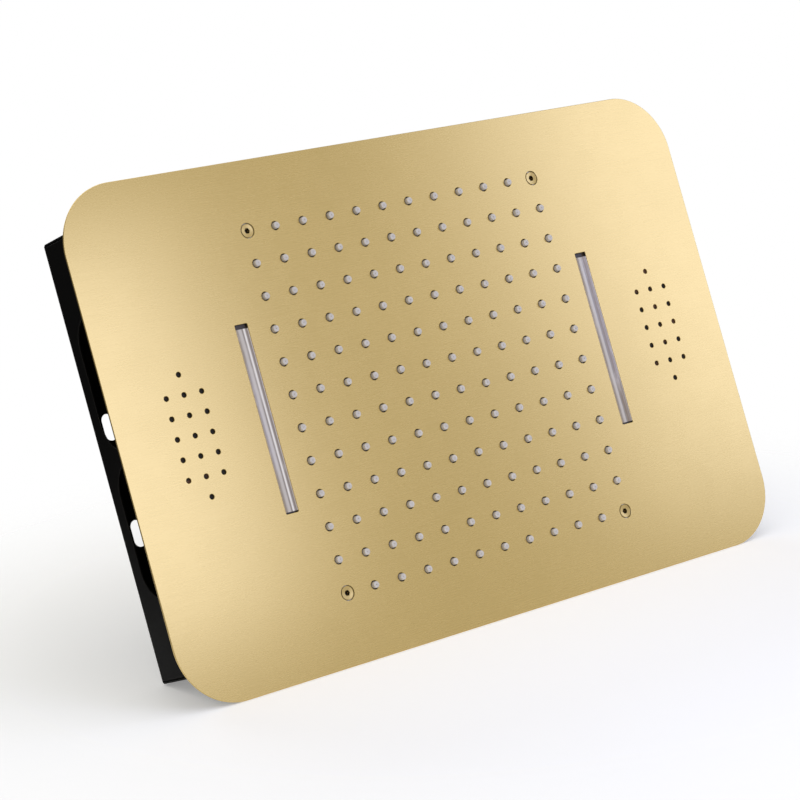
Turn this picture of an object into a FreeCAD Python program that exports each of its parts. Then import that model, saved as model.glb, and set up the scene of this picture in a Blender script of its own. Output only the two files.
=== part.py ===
"""Ceiling shower head with rain nozzles, two light bars and two loudspeakers, in a recess box.

Millimetres.  X runs along the long side of the face plate, Y along the short side and Z up, away
from the wet side.  The origin is the middle of the plane that the nozzle tips end in, so the face
plate looks down and the recess box stands above it, as it hangs in a ceiling.
"""

import FreeCAD, Part
import Sketcher

import math
import os
import re

doc = FreeCAD.newDocument("CeilingShower")

# Driving dimensions: name, value, what it is.
SIZES = [
    # Face plate.
    ("plate_length", 580, "face plate along X"),
    ("plate_width", 380, "face plate along Y"),
    ("plate_thickness", 1.5, "face plate sheet"),
    ("plate_corner", 48, "corner radius of the face plate"),
    ("overhang", 25, "face plate beyond the recess box, all round"),
    ("gap", 2, "least air between two units behind the plate"),
    # Rim seal.
    ("rim_seal_inset", 5, "plate edge to rim seal"),
    ("rim_seal_width", 10, "rim seal strip"),
    ("rim_seal_height", 2, "rim seal strip"),
    # Nozzles and their mat.
    ("nozzle_pitch", 25, "nozzle to nozzle, both ways"),
    ("nozzle_hole", 6.8, "hole in the plate for a nozzle, diameter"),
    ("nozzle_base", 5.6, "nozzle at its foot, diameter"),
    ("nozzle_tip", 4.8, "nozzle at its tip, diameter"),
    ("nozzle_bore", 1.2, "water way of a nozzle, diameter"),
    ("nozzle_stand_out", 2.3, "nozzle tip below the plate"),
    ("nozzle_clearance", 6.5, "outer nozzle centre to chamber wall"),
    ("notch_clearance", 5, "nozzle centre to the wall of a corner notch"),
    ("mat_thickness", 2, "rubber mat"),
    # Water chamber.
    ("chamber_height", 18, "chamber above the mat"),
    ("chamber_wall", 1.5, "chamber wall"),
    ("flange_thickness", 2, "clamped flange"),
    ("flange_width", 8.4, "chamber flange beyond the wall"),
    ("chamber_draft", 3, "rounding of the chamber's upper edge"),
    # Welded studs and their nuts.
    ("stud_diameter", 3, "stud"),
    ("stud_length", 8, "stud above the plate"),
    ("stud_pitch", 60, "stud to stud along the chamber"),
    ("stud_play", 0.2, "stud hole beyond the stud, radial"),
    ("nut_flats", 5.5, "nut across flats"),
    ("nut_height", 2.4, "nut"),
    # Water inlet.
    ("tail_thread", 19, "inlet tail through the chamber roof, diameter"),
    ("tail_bore", 10, "inlet tail bore, diameter"),
    ("tail_flange", 28, "inlet tail flange, diameter"),
    ("tail_flange_height", 2, "inlet tail flange"),
    ("tail_height", 21, "inlet tail above the chamber roof"),
    ("neck_diameter", 15, "neck that the union nut turns on"),
    ("collar_diameter", 18.4, "collar that keeps the union nut on"),
    ("collar_height", 3, "collar"),
    ("locknut_flats", 27, "locknut across flats"),
    ("locknut_height", 6, "locknut"),
    ("union_thread", 20.6, "union nut thread, diameter"),
    ("union_flats", 27, "union nut across flats"),
    ("union_height", 20, "union nut"),
    ("union_relief", 0.6, "relief under the union nut's thread, radial"),
    ("union_lip", 3.5, "union nut lip under the collar"),
    ("union_play", 0.3, "union nut to neck and collar"),
    ("strainer_height", 0.6, "strainer disc"),
    ("washer_height", 2, "inlet washer"),
    ("washer_width", 4, "inlet washer ring"),
    # Pillars and the screws at both their ends.
    ("pillar_diameter", 12, "pillar"),
    ("screw_thread", 6, "pillar screws, diameter"),
    ("screw_head", 11, "screw head, diameter"),
    ("screw_recess", 0.25, "face screw head below the plate face"),
    ("screw_length", 18, "screw below its head"),
    ("screw_key", 4, "hexagon socket across flats"),
    ("screw_key_depth", 2.2, "hexagon socket"),
    ("back_head_height", 2.4, "button head on the back panel"),
    ("back_head_round", 1.44, "rounding of the button head"),
    ("screw_play", 0.3, "back panel hole beyond the screw, radial"),
    # Light bars.
    ("light_length", 142, "light slot along Y"),
    ("light_width", 11, "light slot along X"),
    ("light_fit", 0.25, "window to slot, each side"),
    ("light_recess", 0.5, "window below the plate face"),
    ("light_chamfer", 0.8, "bevel of the window's face"),
    ("light_flange_length", 154, "window flange along Y"),
    ("light_flange_width", 18, "window flange along X"),
    ("light_flange_height", 1.2, "window flange"),
    ("light_seal_height", 1, "light seal"),
    ("light_depth", 18, "light housing above the plate"),
    ("light_wall", 2, "light housing wall"),
    ("light_ear", 10, "ear at each end of the light housing"),
    ("board_height", 1.6, "circuit boards"),
    ("chip_size", 5, "light chip"),
    ("chip_height", 1.6, "light chip"),
    ("chip_pitch", 12, "chip to chip"),
    # Loudspeakers.
    ("speaker_width", 68, "loudspeaker unit along X"),
    ("speaker_length", 114, "loudspeaker unit along Y"),
    ("speaker_depth", 40, "loudspeaker unit above the plate"),
    ("speaker_flange", 6.5, "enclosure flange beyond its wall"),
    ("speaker_wall", 2, "enclosure wall"),
    ("enclosure_round", 2.8, "rounding of the enclosure's back edge"),
    ("speaker_clearance", 2.8, "enclosure flange to box wall"),
    ("light_to_speaker", 62, "light bar centre to loudspeaker centre"),
    ("speaker_stud_spacing", 30, "stud to stud along Y"),
    ("sound_hole", 4, "sound hole, diameter"),
    ("sound_pitch", 15, "sound hole to sound hole, both ways"),
    ("cloth_height", 0.4, "sound cloth"),
    ("cloth_border", 1, "cloth inside the speaker seal"),
    ("ledge_width", 4, "enclosure ledge"),
    ("ledge_height", 7, "enclosure ledge above the plate"),
    ("ledge_thickness", 2, "enclosure ledge"),
    ("basket_sheet", 1.2, "basket sheet"),
    ("basket_height", 15, "basket above the ledge"),
    ("seat_width", 3.6, "basket's seat for the magnet, round the voice coil"),
    ("basket_play", 0.3, "basket to enclosure"),
    ("roll_width", 2.5, "surround between cone and basket"),
    ("roll_height", 0.8, "surround"),
    ("cone_wall", 1.4, "cone wall, measured across"),
    ("cone_height", 8.6, "cone"),
    ("coil_diameter", 13.2, "voice coil"),
    ("coil_wall", 0.6, "voice coil"),
    ("coil_height", 12, "voice coil"),
    ("coil_play", 0.5, "voice coil to magnet"),
    ("magnet_diameter", 32, "magnet"),
    ("magnet_height", 10, "magnet"),
    ("magnet_gap_depth", 7, "slot in the magnet for the voice coil"),
    ("cap_height", 2, "dust cap dome"),
    # Recess box.
    ("box_depth", 70, "recess box above the plate"),
    ("sheet_thickness", 1.2, "recess box sheet"),
    ("bend_radius", 2, "outer bend radius of the box sheet"),
    ("tab_width", 15, "corner tab of an end wall"),
    ("window_length", 100, "window in a box wall"),
    ("window_pitch", 110, "window to window"),
    ("window_low_margin", 13.7, "plate to window"),
    ("window_high_margin", 11.3, "window to back of box"),
    ("corner_margin", 40, "least wall beside the outer windows"),
    ("hanger_slot_length", 20, "hanger slot, end to end"),
    ("hanger_slot_width", 10, "hanger slot"),
    ("hanger_spacing", 80, "slot to slot along Y"),
    ("hanger_offset", 15, "middle of a pair of slots along Y"),
    ("hanger_inset", 12.5, "box side to slot centre line"),
    ("hose_port", 60, "hole in the back panel over the inlet, diameter"),
    # Controller and cable entry.
    ("controller_length", 90, "controller case along X"),
    ("controller_width", 80, "controller case along Y"),
    ("controller_height", 22, "controller case"),
    ("controller_wall", 2.5, "controller case wall and lid"),
    ("controller_screw", 3, "controller screws, diameter"),
    ("controller_post", 9, "corner post of the controller case"),
    ("board_play", 1, "controller board to case wall and posts"),
    ("converter_length", 20, "power converter on the controller board, along X"),
    ("converter_width", 23, "power converter, along Y"),
    ("processor_size", 11, "radio module on the controller board"),
    ("capacitor_diameter", 10, "capacitor on the controller board"),
    ("part_height", 5.5, "parts on the controller board"),
    ("grommet_hole", 14, "hole in the back panel for the grommet, diameter"),
    ("grommet_bore", 7, "cable way of the grommet, diameter"),
    ("grommet_rim", 2.5, "grommet rim beyond its hole, and its height"),
    ("grommet_offset", 100, "grommet from the middle, along Y"),
]

sheet = doc.addObject("Spreadsheet::Sheet", "Size")
for row, (name, number, note) in enumerate(SIZES, start=1):
    sheet.set(f"A{row}", note)
    sheet.set(f"B{row}", str(number))
    sheet.setAlias(f"B{row}", name)
doc.recompute()

ALIASES = re.compile(r"\b(" + "|".join(name for name, _, _ in SIZES) + r")\b")

# Places and sizes that follow from the sheet, as expressions.
PLATE_BACK = "(nozzle_stand_out + plate_thickness)"
BOX_X = "(plate_length/2 - overhang)"
BOX_Y = "(plate_width/2 - overhang)"
BOX_BACK = "(box_depth - sheet_thickness)"
SPEAKER_X = f"({BOX_X} - sheet_thickness - speaker_clearance - speaker_width/2)"
LIGHT_X = f"({SPEAKER_X} - light_to_speaker)"
CHAMBER_BORDER = "(chamber_wall + flange_width)"
ROOM_X = f"({LIGHT_X} - light_flange_width/2 - gap - {CHAMBER_BORDER} - nozzle_clearance)"
ROOM_Y = f"({BOX_Y} - sheet_thickness - gap - {CHAMBER_BORDER} - nozzle_clearance)"
COLUMNS = f"(2*floor({ROOM_X}/nozzle_pitch + 0.5))"
ROWS = f"(2*floor({ROOM_Y}/nozzle_pitch + 0.5))"
GRID_X = f"(({COLUMNS} - 1)/2*nozzle_pitch)"
GRID_Y = f"(({ROWS} - 1)/2*nozzle_pitch)"
CHAMBER_ROOF = "(mat_thickness + chamber_height)"
CLAMPED = "(mat_thickness + flange_thickness)"
STUD_HOLE = "(stud_diameter/2 + stud_play)"
FLANGE_X = f"({GRID_X} + nozzle_clearance + chamber_wall + flange_width/2)"
FLANGE_Y = f"({GRID_Y} + nozzle_clearance + chamber_wall + flange_width/2)"
NOTCH_X = f"({GRID_X} - nozzle_pitch + notch_clearance + {CHAMBER_BORDER})"
NOTCH_Y = f"({GRID_Y} - nozzle_pitch + notch_clearance + {CHAMBER_BORDER})"
STUDS_X = f"(floor(2*({NOTCH_X} - nut_flats)/stud_pitch) + 1)"
STUDS_Y = f"(floor(2*({NOTCH_Y} - nut_flats)/stud_pitch) + 1)"
WINDOW_RADIUS = "((box_depth - window_low_margin - window_high_margin)/2)"
END_WINDOWS = f"(floor(({BOX_Y} - corner_margin)/window_pitch))"
LONG_WINDOWS = f"(floor(({BOX_X} - corner_margin)/window_pitch))"
HANGER_X = f"({BOX_X} - hanger_inset)"
SPEAKER_STRAIGHT = "((speaker_length - speaker_width)/2)"
CUP_RADIUS = "(speaker_width/2 - speaker_flange - speaker_wall)"
SPEAKER_STUD_X = "(speaker_width/2 - speaker_flange/2)"
LEDGE_RADIUS = f"({CUP_RADIUS} - ledge_width)"
BASKET_RADIUS = f"({LEDGE_RADIUS} - basket_play - basket_sheet)"
CONE_RADIUS = f"({BASKET_RADIUS} - roll_width)"
CONE_FRONT = "(ledge_height - basket_sheet - roll_height/2)"
CONE_BACK = f"({CONE_FRONT} + cone_height)"
MAGNET_FRONT = "(ledge_height + basket_height)"
COIL_INNER = "(coil_diameter/2 - coil_wall)"
CONTROLLER_X = f"({SPEAKER_X} - speaker_width/2 - gap - controller_length/2)"
CONTROLLER_FRONT = f"({BOX_BACK} - controller_height)"
POST_X = "(controller_length/2 - controller_post/2)"
POST_Y = "(controller_width/2 - controller_post/2)"
COLLAR_TOP = f"({CHAMBER_ROOF} + tail_height)"
UNION_FOOT = f"({COLLAR_TOP} - collar_height - union_play - union_lip)"
SEAT_RADIUS = "(collar_diameter/2)"


def bound(text):
    """An expression with the sheet's name in front of each of its aliases."""
    return ALIASES.sub(r"Size.\1", text)


def value(text):
    """The number that an expression gives now."""
    result = sheet.evalExpression(bound(text))
    return float(getattr(result, "Value", result))


def mirrored(x, y):
    """The four places (+-x, +-y)."""
    return [(f"{a}{x}", f"{b}{y}") for a in ("", "-") for b in ("", "-")]


class Circle:
    """A circle at (x, y)."""

    def __init__(self, x, y, radius):
        self.x, self.y, self.radius = x, y, radius

    def draw(self, pen):
        centre = FreeCAD.Vector(value(self.x), value(self.y), 0)
        one = pen.sketch.addGeometry(Part.Circle(centre, FreeCAD.Vector(0, 0, 1), value(self.radius)))
        pen.fix(one, 3, self.x, self.y)
        pen.size("Radius", one, self.radius)


class Outline:
    """A closed polygon through (x, y) points."""

    def __init__(self, points):
        self.points = points

    def draw(self, pen):
        places = [FreeCAD.Vector(value(x), value(y), 0) for x, y in self.points]
        count = len(places)
        first = pen.sketch.GeometryCount
        for n in range(count):
            pen.sketch.addGeometry(Part.LineSegment(places[n], places[(n + 1) % count]))
        for n, (x, y) in enumerate(self.points):
            pen.join(first + (n - 1) % count, 2, first + n, 1)
            pen.fix(first + n, 1, x, y)


class Rectangle(Outline):
    """A rectangle about (x, y), given by half its sides."""

    def __init__(self, x, y, half_x, half_y):
        corners = [("-", "-"), ("+", "-"), ("+", "+"), ("-", "+")]
        super().__init__([(f"{x} {a} {half_x}", f"{y} {b} {half_y}") for a, b in corners])


class RoundedRectangle:
    """A rectangle about the middle with rounded corners, given by half its sides."""

    def __init__(self, half_x, half_y, corner):
        self.half_x, self.half_y, self.corner = half_x, half_y, corner

    def draw(self, pen):
        radius, up = value(self.corner), FreeCAD.Vector(0, 0, 1)
        centres = [(f"{a}({self.half_x} - {self.corner})", f"{b}({self.half_y} - {self.corner})")
                   for a, b in (("", ""), ("-", ""), ("-", "-"), ("", "-"))]
        middles = [FreeCAD.Vector(value(x), value(y), 0) for x, y in centres]
        arcs, lines = [], []
        for n, middle in enumerate(middles):
            start = n * math.pi / 2
            end = start + math.pi / 2
            out = FreeCAD.Vector(math.cos(end), math.sin(end), 0) * radius
            arcs.append(pen.sketch.addGeometry(
                Part.ArcOfCircle(Part.Circle(middle, up, radius), start, end)))
            lines.append(pen.sketch.addGeometry(
                Part.LineSegment(middle + out, middles[(n + 1) % 4] + out)))
        for n in range(4):
            pen.constrain("Tangent", arcs[n], 2, lines[n], 1)
            pen.constrain("Tangent", lines[n], 2, arcs[(n + 1) % 4], 1)
            pen.fix(arcs[n], 3, *centres[n])
        for other in arcs[1:]:
            pen.constrain("Equal", arcs[0], other)
        pen.size("Radius", arcs[0], self.corner)


class Hexagon(Outline):
    """A hexagon about (x, y), given by its width across flats."""

    def __init__(self, flats, x="0", y="0"):
        reach = [(f"{x} + {flats}*cos({60 * n})/sqrt(3)", f"{y} + {flats}*sin({60 * n})/sqrt(3)")
                 for n in range(6)]
        super().__init__(reach)


class Slot:
    """A round-ended slot about (x, y): radius, and half its straight part, along X or Y."""

    def __init__(self, x, y, radius, straight, along="Y"):
        self.x, self.y, self.radius, self.straight, self.along = x, y, radius, straight, along

    def draw(self, pen):
        x, y, r, half = (value(t) for t in (self.x, self.y, self.radius, self.straight))
        along_x = self.along == "X"
        turn = 0 if along_x else math.pi / 2
        step = FreeCAD.Vector(half, 0, 0) if along_x else FreeCAD.Vector(0, half, 0)
        side = FreeCAD.Vector(0, r, 0) if along_x else FreeCAD.Vector(-r, 0, 0)
        middle, up = FreeCAD.Vector(x, y, 0), FreeCAD.Vector(0, 0, 1)
        quarter = math.pi / 2
        near = Part.ArcOfCircle(Part.Circle(middle + step, up, r), turn - quarter, turn + quarter)
        far = Part.ArcOfCircle(Part.Circle(middle - step, up, r), turn + quarter, turn + 3 * quarter)
        arc, line_1, back, line_2 = pen.sketch.addGeometry([
            near,
            Part.LineSegment(middle + step + side, middle - step + side),
            far,
            Part.LineSegment(middle - step - side, middle + step - side),
        ])
        for a, b in ((arc, line_1), (line_1, back), (back, line_2), (line_2, arc)):
            pen.constrain("Tangent", a, 2, b, 1)
        pen.constrain("Equal", arc, back)
        pen.size("Radius", arc, self.radius)
        for geometry, sign in ((arc, "+"), (back, "-")):
            shift = f" {sign} {self.straight}"
            pen.fix(geometry, 3, self.x + (shift if along_x else ""), self.y + ("" if along_x else shift))


class Pen:
    """Draws shapes in one sketch and binds their sizes to the sheet."""

    def __init__(self, sketch):
        self.sketch, self.constraint = sketch, Sketcher.Constraint

    def constrain(self, *terms):
        return self.sketch.addConstraint(self.constraint(*terms))

    def join(self, a, a_end, b, b_end):
        self.constrain("Coincident", a, a_end, b, b_end)

    def size(self, kind, geometry, text):
        index = self.constrain(kind, geometry, value(text))
        self.sketch.setExpression(f"Constraints[{index}]", bound(text))

    def fix(self, geometry, end, x, y):
        for kind, text, axis in (("DistanceX", x, -2), ("DistanceY", y, -1)):
            if text.strip() in ("0", "-0"):
                self.constrain("PointOnObject", geometry, end, axis)
                continue
            index = self.constrain(kind, -1, 1, geometry, end, value(text))
            self.sketch.setExpression(f"Constraints[{index}]", bound(text))


PIECES = []
SIDES = ("", "-")
COUNTERSINK = 45.0
# The dust cap's bend, as shares of its radius and height.
CAP_SHOULDER, CAP_RISE = "0.7", "0.6"


class Piece:
    """One sub-part: a PartDesign body that stands on the back face of the plate."""

    def __init__(self, label, x="0", y="0", z="0"):
        self.body = doc.addObject("PartDesign::Body", label)
        self.body.Label = label
        self.body.AllowCompound = True
        for axis, text in (("x", x), ("y", y), ("z", f"{PLATE_BACK} + {z}")):
            self.body.setExpression(f"Placement.Base.{axis}", bound(text))
        PIECES.append(self.body)

    def origin(self, role):
        return next(f for f in self.body.Origin.OriginFeatures if f.Role == role)

    def sketch(self, shapes, z="0", plane="XY_Plane"):
        sketch = self.body.newObject("Sketcher::SketchObject", self.body.Name + "_sketch")
        sketch.AttachmentSupport = [(self.origin(plane), "")]
        sketch.MapMode = "FlatFace"
        sketch.setExpression("AttachmentOffset.Base.z", bound(z))
        pen = Pen(sketch)
        for shape in shapes:
            shape.draw(pen)
        doc.recompute()
        return sketch

    def feature(self, kind, profile, **settings):
        before = self.body.Shape.Volume if self.body.Tip else 0.0
        made = self.body.newObject(f"PartDesign::{kind}", f"{self.body.Name}_{kind}")
        made.Profile = profile
        for name, setting in settings.items():
            if isinstance(setting, str) and name in ("Length", "Angle"):
                made.setExpression(name, bound(setting))
            else:
                setattr(made, name, setting)
        doc.recompute()
        self.body.Tip = made
        doc.recompute()
        change = self.body.Shape.Volume - before
        cuts = kind in ("Pocket", "Groove", "SubtractiveLoft")
        if abs(change) < 1e-6 or (change < 0) != cuts:
            raise RuntimeError(f"{made.Name} changes nothing, or the wrong way: {change}")
        return made

    def pad(self, shapes, z, length):
        """Adds material upwards from z."""
        return self.feature("Pad", self.sketch(shapes, z), Length=length)

    def cut(self, shapes, z, length, plane="XY_Plane", up=True):
        """Takes material away upwards from z, or the whole way through from another plane."""
        return self.feature("Pocket", self.sketch(shapes, z, plane), Length=length, Reversed=up)

    def turned(self, points, kind="Revolution"):
        """Turns an outline of (radius, height) points about the middle."""
        profile = self.sketch([Outline(points)], plane="XZ_Plane")
        return self.feature(kind, profile, ReferenceAxis=(self.origin("Z_Axis"), [""]), Angle=360.0)

    def loft(self, low, low_z, high, high_z, kind="AdditiveLoft"):
        """Blends one shape into another."""
        upper = self.sketch([high], high_z)
        return self.feature(kind, self.sketch([low], low_z), Sections=[upper], Ruled=True)

    def repeat(self, feature, axis, spacing, count):
        """Repeats a feature along an axis."""
        if value(count) < 2:
            return
        pattern = self.body.newObject("PartDesign::LinearPattern", f"{self.body.Name}_pattern")
        pattern.Originals = [feature]
        pattern.Direction = (self.origin(f"{axis}_Axis"), [""])
        pattern.Mode = "Spacing"
        pattern.setExpression("Offset", bound(spacing))
        pattern.setExpression("Occurrences", bound(count))
        self.body.Tip = pattern
        doc.recompute()

    def dress(self, kind, size, wanted):
        """Fillets or chamfers the edges that wanted() picks."""
        base = self.body.Tip
        names = [f"Edge{n}" for n, edge in enumerate(base.Shape.Edges, start=1) if wanted(edge)]
        if not names:
            raise RuntimeError(f"{self.body.Label}: no edge to {kind}")
        made = self.body.newObject(f"PartDesign::{kind}", f"{self.body.Name}_{kind}")
        made.Base = (base, names)
        made.setExpression("Radius" if kind == "Fillet" else "Size", bound(size))
        self.body.Tip = made
        doc.recompute()


def upright(edge):
    """Whether an edge is a straight line along Z."""
    if edge.Curve.TypeId != "Part::GeomLine":
        return False
    return abs(abs(edge.Curve.Direction.z) - 1) < 1e-6


def at_height(z):
    """Picks the edges that lie at one height."""
    return lambda e: abs(e.BoundBox.ZMin - z) < 1e-4 and abs(e.BoundBox.ZMax - z) < 1e-4


def notched(border):
    """Outline of the nozzle field, its corners left out, a border beyond the chamber's inside."""
    x = f"{GRID_X} + nozzle_clearance + {border}"
    y = f"{GRID_Y} + nozzle_clearance + {border}"
    u = f"{GRID_X} - nozzle_pitch + notch_clearance + {border}"
    v = f"{GRID_Y} - nozzle_pitch + notch_clearance + {border}"
    quarter = [(x, v), (u, v), (u, y)]
    points = list(quarter)
    points += [(f"-({a})", b) for a, b in reversed(quarter)]
    points += [(f"-({a})", f"-({b})") for a, b in quarter]
    points += [(a, f"-({b})") for a, b in reversed(quarter)]
    return Outline(points)


def nozzle_field(piece, make):
    """Makes one feature at every nozzle: make(places) adds a column of them, for each block of rows."""
    rows = round(value(ROWS))
    inner = make([("-" + GRID_X, f"-{GRID_Y} + {n}*nozzle_pitch") for n in range(1, rows - 1)])
    piece.repeat(inner, "X", "nozzle_pitch", COLUMNS)
    outer = make([(f"-{GRID_X} + nozzle_pitch", f"{sign}{GRID_Y}") for sign in ("", "-")])
    piece.repeat(outer, "X", "nozzle_pitch", f"{COLUMNS} - 2")


def chamber_studs(piece, make):
    """Makes one feature at every stud along the chamber: make(places) adds the first ones."""
    for first, count, axis in (
        ([(f"-({STUDS_X} - 1)/2*stud_pitch", f"{s}{FLANGE_Y}") for s in ("", "-")], STUDS_X, "X"),
        ([(f"{s}{FLANGE_X}", f"-({STUDS_Y} - 1)/2*stud_pitch") for s in ("", "-")], STUDS_Y, "Y"),
    ):
        piece.repeat(make(first), axis, "stud_pitch", count)


def unit_stud_places():
    """Studs of the light bars and loudspeakers."""
    lights = mirrored(LIGHT_X, "(light_flange_length/2 + light_ear/2)")
    speakers = [
        (f"{side}({SPEAKER_X} {a} {SPEAKER_STUD_X})", f"{b}speaker_stud_spacing/2")
        for side in ("", "-") for a in ("+", "-") for b in ("", "-")
    ]
    return lights + speakers


def face_plate():
    """Gold-finished sheet with every opening in it."""
    piece = Piece("face_plate", z="-plate_thickness")
    through = ("0", "plate_thickness")
    piece.pad([RoundedRectangle("plate_length/2", "plate_width/2", "plate_corner")], *through)
    nozzle_field(piece, lambda places: piece.cut(
        [Circle(x, y, "nozzle_hole/2") for x, y in places], *through))
    piece.cut([Rectangle(f"{side}{LIGHT_X}", "0", "light_width/2", "light_length/2")
               for side in SIDES], *through)
    middle = piece.cut([Circle(f"{side}{SPEAKER_X}", "-3*sound_pitch", "sound_hole/2")
                        for side in SIDES], *through)
    piece.repeat(middle, "Y", "sound_pitch", "7")
    outer = piece.cut([Circle(f"{side}{SPEAKER_X} {way} sound_pitch", "-2*sound_pitch", "sound_hole/2")
                       for side in SIDES for way in ("+", "-")], *through)
    piece.repeat(outer, "Y", "sound_pitch", "5")
    seats = piece.sketch([Circle(x, y, "(screw_head/2 + screw_recess)")
                          for x, y in mirrored(GRID_X, GRID_Y)])
    piece.feature("Pocket", seats, Length="plate_thickness", Reversed=True, TaperAngle=-COUNTERSINK)


def rim_seal():
    """Foam strip between the plate's rim and the ceiling."""
    piece = Piece("rim_seal")
    piece.pad([
        RoundedRectangle(*(f"({half} - {inset})" for half in ("plate_length/2", "plate_width/2")),
                         f"(plate_corner - {inset})")
        for inset in ("rim_seal_inset", "(rim_seal_inset + rim_seal_width)")
    ], "0", "rim_seal_height")


def nozzle_mat():
    """Rubber mat with one nozzle in each hole of the plate."""
    piece = Piece("nozzle_mat")
    piece.pad([notched(CHAMBER_BORDER)], "0", "mat_thickness")
    foot = "-(plate_thickness + nozzle_stand_out)"
    slope = math.degrees(math.atan2(value("(nozzle_base - nozzle_tip)/2"), -value(foot)))

    def nozzles(places):
        profile = piece.sketch([Circle(x, y, "nozzle_base/2") for x, y in places])
        return piece.feature("Pad", profile, Length=f"-{foot}", Reversed=True, TaperAngle=-slope)

    nozzle_field(piece, nozzles)
    nozzle_field(piece, lambda places: piece.cut(
        [Circle(x, y, "nozzle_bore/2") for x, y in places], foot, f"mat_thickness - {foot}"))
    chamber_studs(piece, lambda places: piece.cut(
        [Circle(x, y, STUD_HOLE) for x, y in places], "0", "mat_thickness"))


def water_chamber():
    """Pan that holds the water over the mat, its flange clamped to the plate."""
    piece = Piece("water_chamber")
    piece.pad([notched(CHAMBER_BORDER)], "mat_thickness", "flange_thickness")
    piece.pad([notched("chamber_wall")], "mat_thickness", "chamber_height")
    top = value(CHAMBER_ROOF)
    piece.dress("Fillet", "chamber_draft", at_height(top))
    piece.cut([notched("0")], "mat_thickness", "chamber_height - chamber_wall")
    chamber_studs(piece, lambda places: piece.cut(
        [Circle(x, y, STUD_HOLE) for x, y in places], "mat_thickness", "flange_thickness"))
    piece.cut([Circle("0", "0", "tail_thread/2")], "mat_thickness", "chamber_height")


def studs_and_nuts():
    """Studs welded to the plate, and the nuts that clamp what stands on them."""
    studs = Piece("plate_studs")
    chamber_studs(studs, lambda places: studs.pad(
        [Circle(x, y, "stud_diameter/2") for x, y in places], "0", "stud_length"))
    studs.pad([Circle(x, y, "stud_diameter/2") for x, y in unit_stud_places()], "0", "stud_length")
    nuts = Piece("stud_nuts")
    chamber_studs(nuts, lambda places: nuts.pad(
        [shape for x, y in places for shape in (Hexagon("nut_flats", x, y), Circle(x, y, "stud_diameter/2"))],
        CLAMPED, "nut_height"))
    nuts.pad([shape for x, y in unit_stud_places()
              for shape in (Hexagon("nut_flats", x, y), Circle(x, y, "stud_diameter/2"))],
             CLAMPED, "nut_height")


def inlet():
    """Threaded tail in the chamber roof, its locknut, and the union nut that turns on it."""
    tail = Piece("inlet_tail")
    bore, thread, neck = "tail_bore/2", "tail_thread/2", "neck_diameter/2"
    inside = f"({CHAMBER_ROOF} - chamber_wall)"
    shoulder = f"({CHAMBER_ROOF} + locknut_height + gap)"
    tail.turned([
        (bore, f"{inside} - tail_flange_height"), ("tail_flange/2", f"{inside} - tail_flange_height"),
        ("tail_flange/2", inside), (thread, inside), (thread, shoulder), (neck, shoulder),
        (neck, f"{COLLAR_TOP} - collar_height"), (SEAT_RADIUS, f"{COLLAR_TOP} - collar_height"),
        (SEAT_RADIUS, COLLAR_TOP), (bore, COLLAR_TOP),
    ])
    locknut = Piece("inlet_locknut")
    locknut.pad([Hexagon("locknut_flats"), Circle("0", "0", thread)], CHAMBER_ROOF, "locknut_height")
    union = Piece("inlet_union_nut")
    union.pad([Hexagon("union_flats")], UNION_FOOT, "union_height")
    union.cut([Circle("0", "0", f"({neck} + union_play)")], UNION_FOOT, "union_height")
    union.cut([Circle("0", "0", "union_thread/2")], f"{UNION_FOOT} + union_lip",
              "union_height - union_lip")
    union.cut([Circle("0", "0", "(union_thread/2 + union_relief)")], f"{UNION_FOOT} + union_lip",
              "collar_height + union_play + strainer_height + washer_height")
    strainer = Piece("inlet_strainer")
    strainer.pad([Circle("0", "0", SEAT_RADIUS)], COLLAR_TOP, "strainer_height")
    holes = strainer.cut([Circle("-tail_bore/4", f"{n}*tail_bore/4", "tail_bore/12")
                          for n in (-1, 0, 1)], COLLAR_TOP, "strainer_height")
    strainer.repeat(holes, "X", "tail_bore/4", "3")
    washer = Piece("inlet_washer")
    washer.pad([Circle("0", "0", SEAT_RADIUS), Circle("0", "0", f"({SEAT_RADIUS} - washer_width)")],
               f"{COLLAR_TOP} + strainer_height", "washer_height")


def pillars():
    """Four pillars between plate and back panel, screwed at both ends."""
    seat = "(screw_head/2 + screw_recess - plate_thickness)"
    for number, (x, y) in enumerate(mirrored(GRID_X, GRID_Y), start=1):
        pillar = Piece(f"pillar_{number}", x, y)
        pillar.pad([Circle("0", "0", "pillar_diameter/2"), Circle("0", "0", "screw_thread/2")],
                   "0", BOX_BACK)
        pillar.turned([("screw_thread/2", "0"), (seat, "0"), ("screw_thread/2", f"{seat} - screw_thread/2")],
                      "Groove")
    face = Piece("face_screws")
    top = "(screw_recess - plate_thickness)"
    cone = "((screw_head - screw_thread)/2)"
    places = mirrored(GRID_X, GRID_Y)
    heads = face.sketch([Circle(x, y, "screw_head/2") for x, y in places], top)
    face.feature("Pad", heads, Length=cone, TaperAngle=-COUNTERSINK)
    face.pad([Circle(x, y, "screw_thread/2") for x, y in places], f"{top} + {cone}", "screw_length")
    face.cut([Hexagon("screw_key", x, y) for x, y in places], top, "screw_key_depth")
    back = Piece("pillar_screws")
    back.pad([Circle(x, y, "screw_head/2") for x, y in places], "box_depth", "back_head_height")
    back.dress("Fillet", "back_head_round", at_height(value("box_depth + back_head_height")))
    back.pad([Circle(x, y, "screw_thread/2") for x, y in places], "box_depth - screw_length",
             "screw_length")
    back.cut([Hexagon("screw_key", x, y) for x, y in places],
             "box_depth + back_head_height - screw_key_depth", "screw_key_depth")


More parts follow.
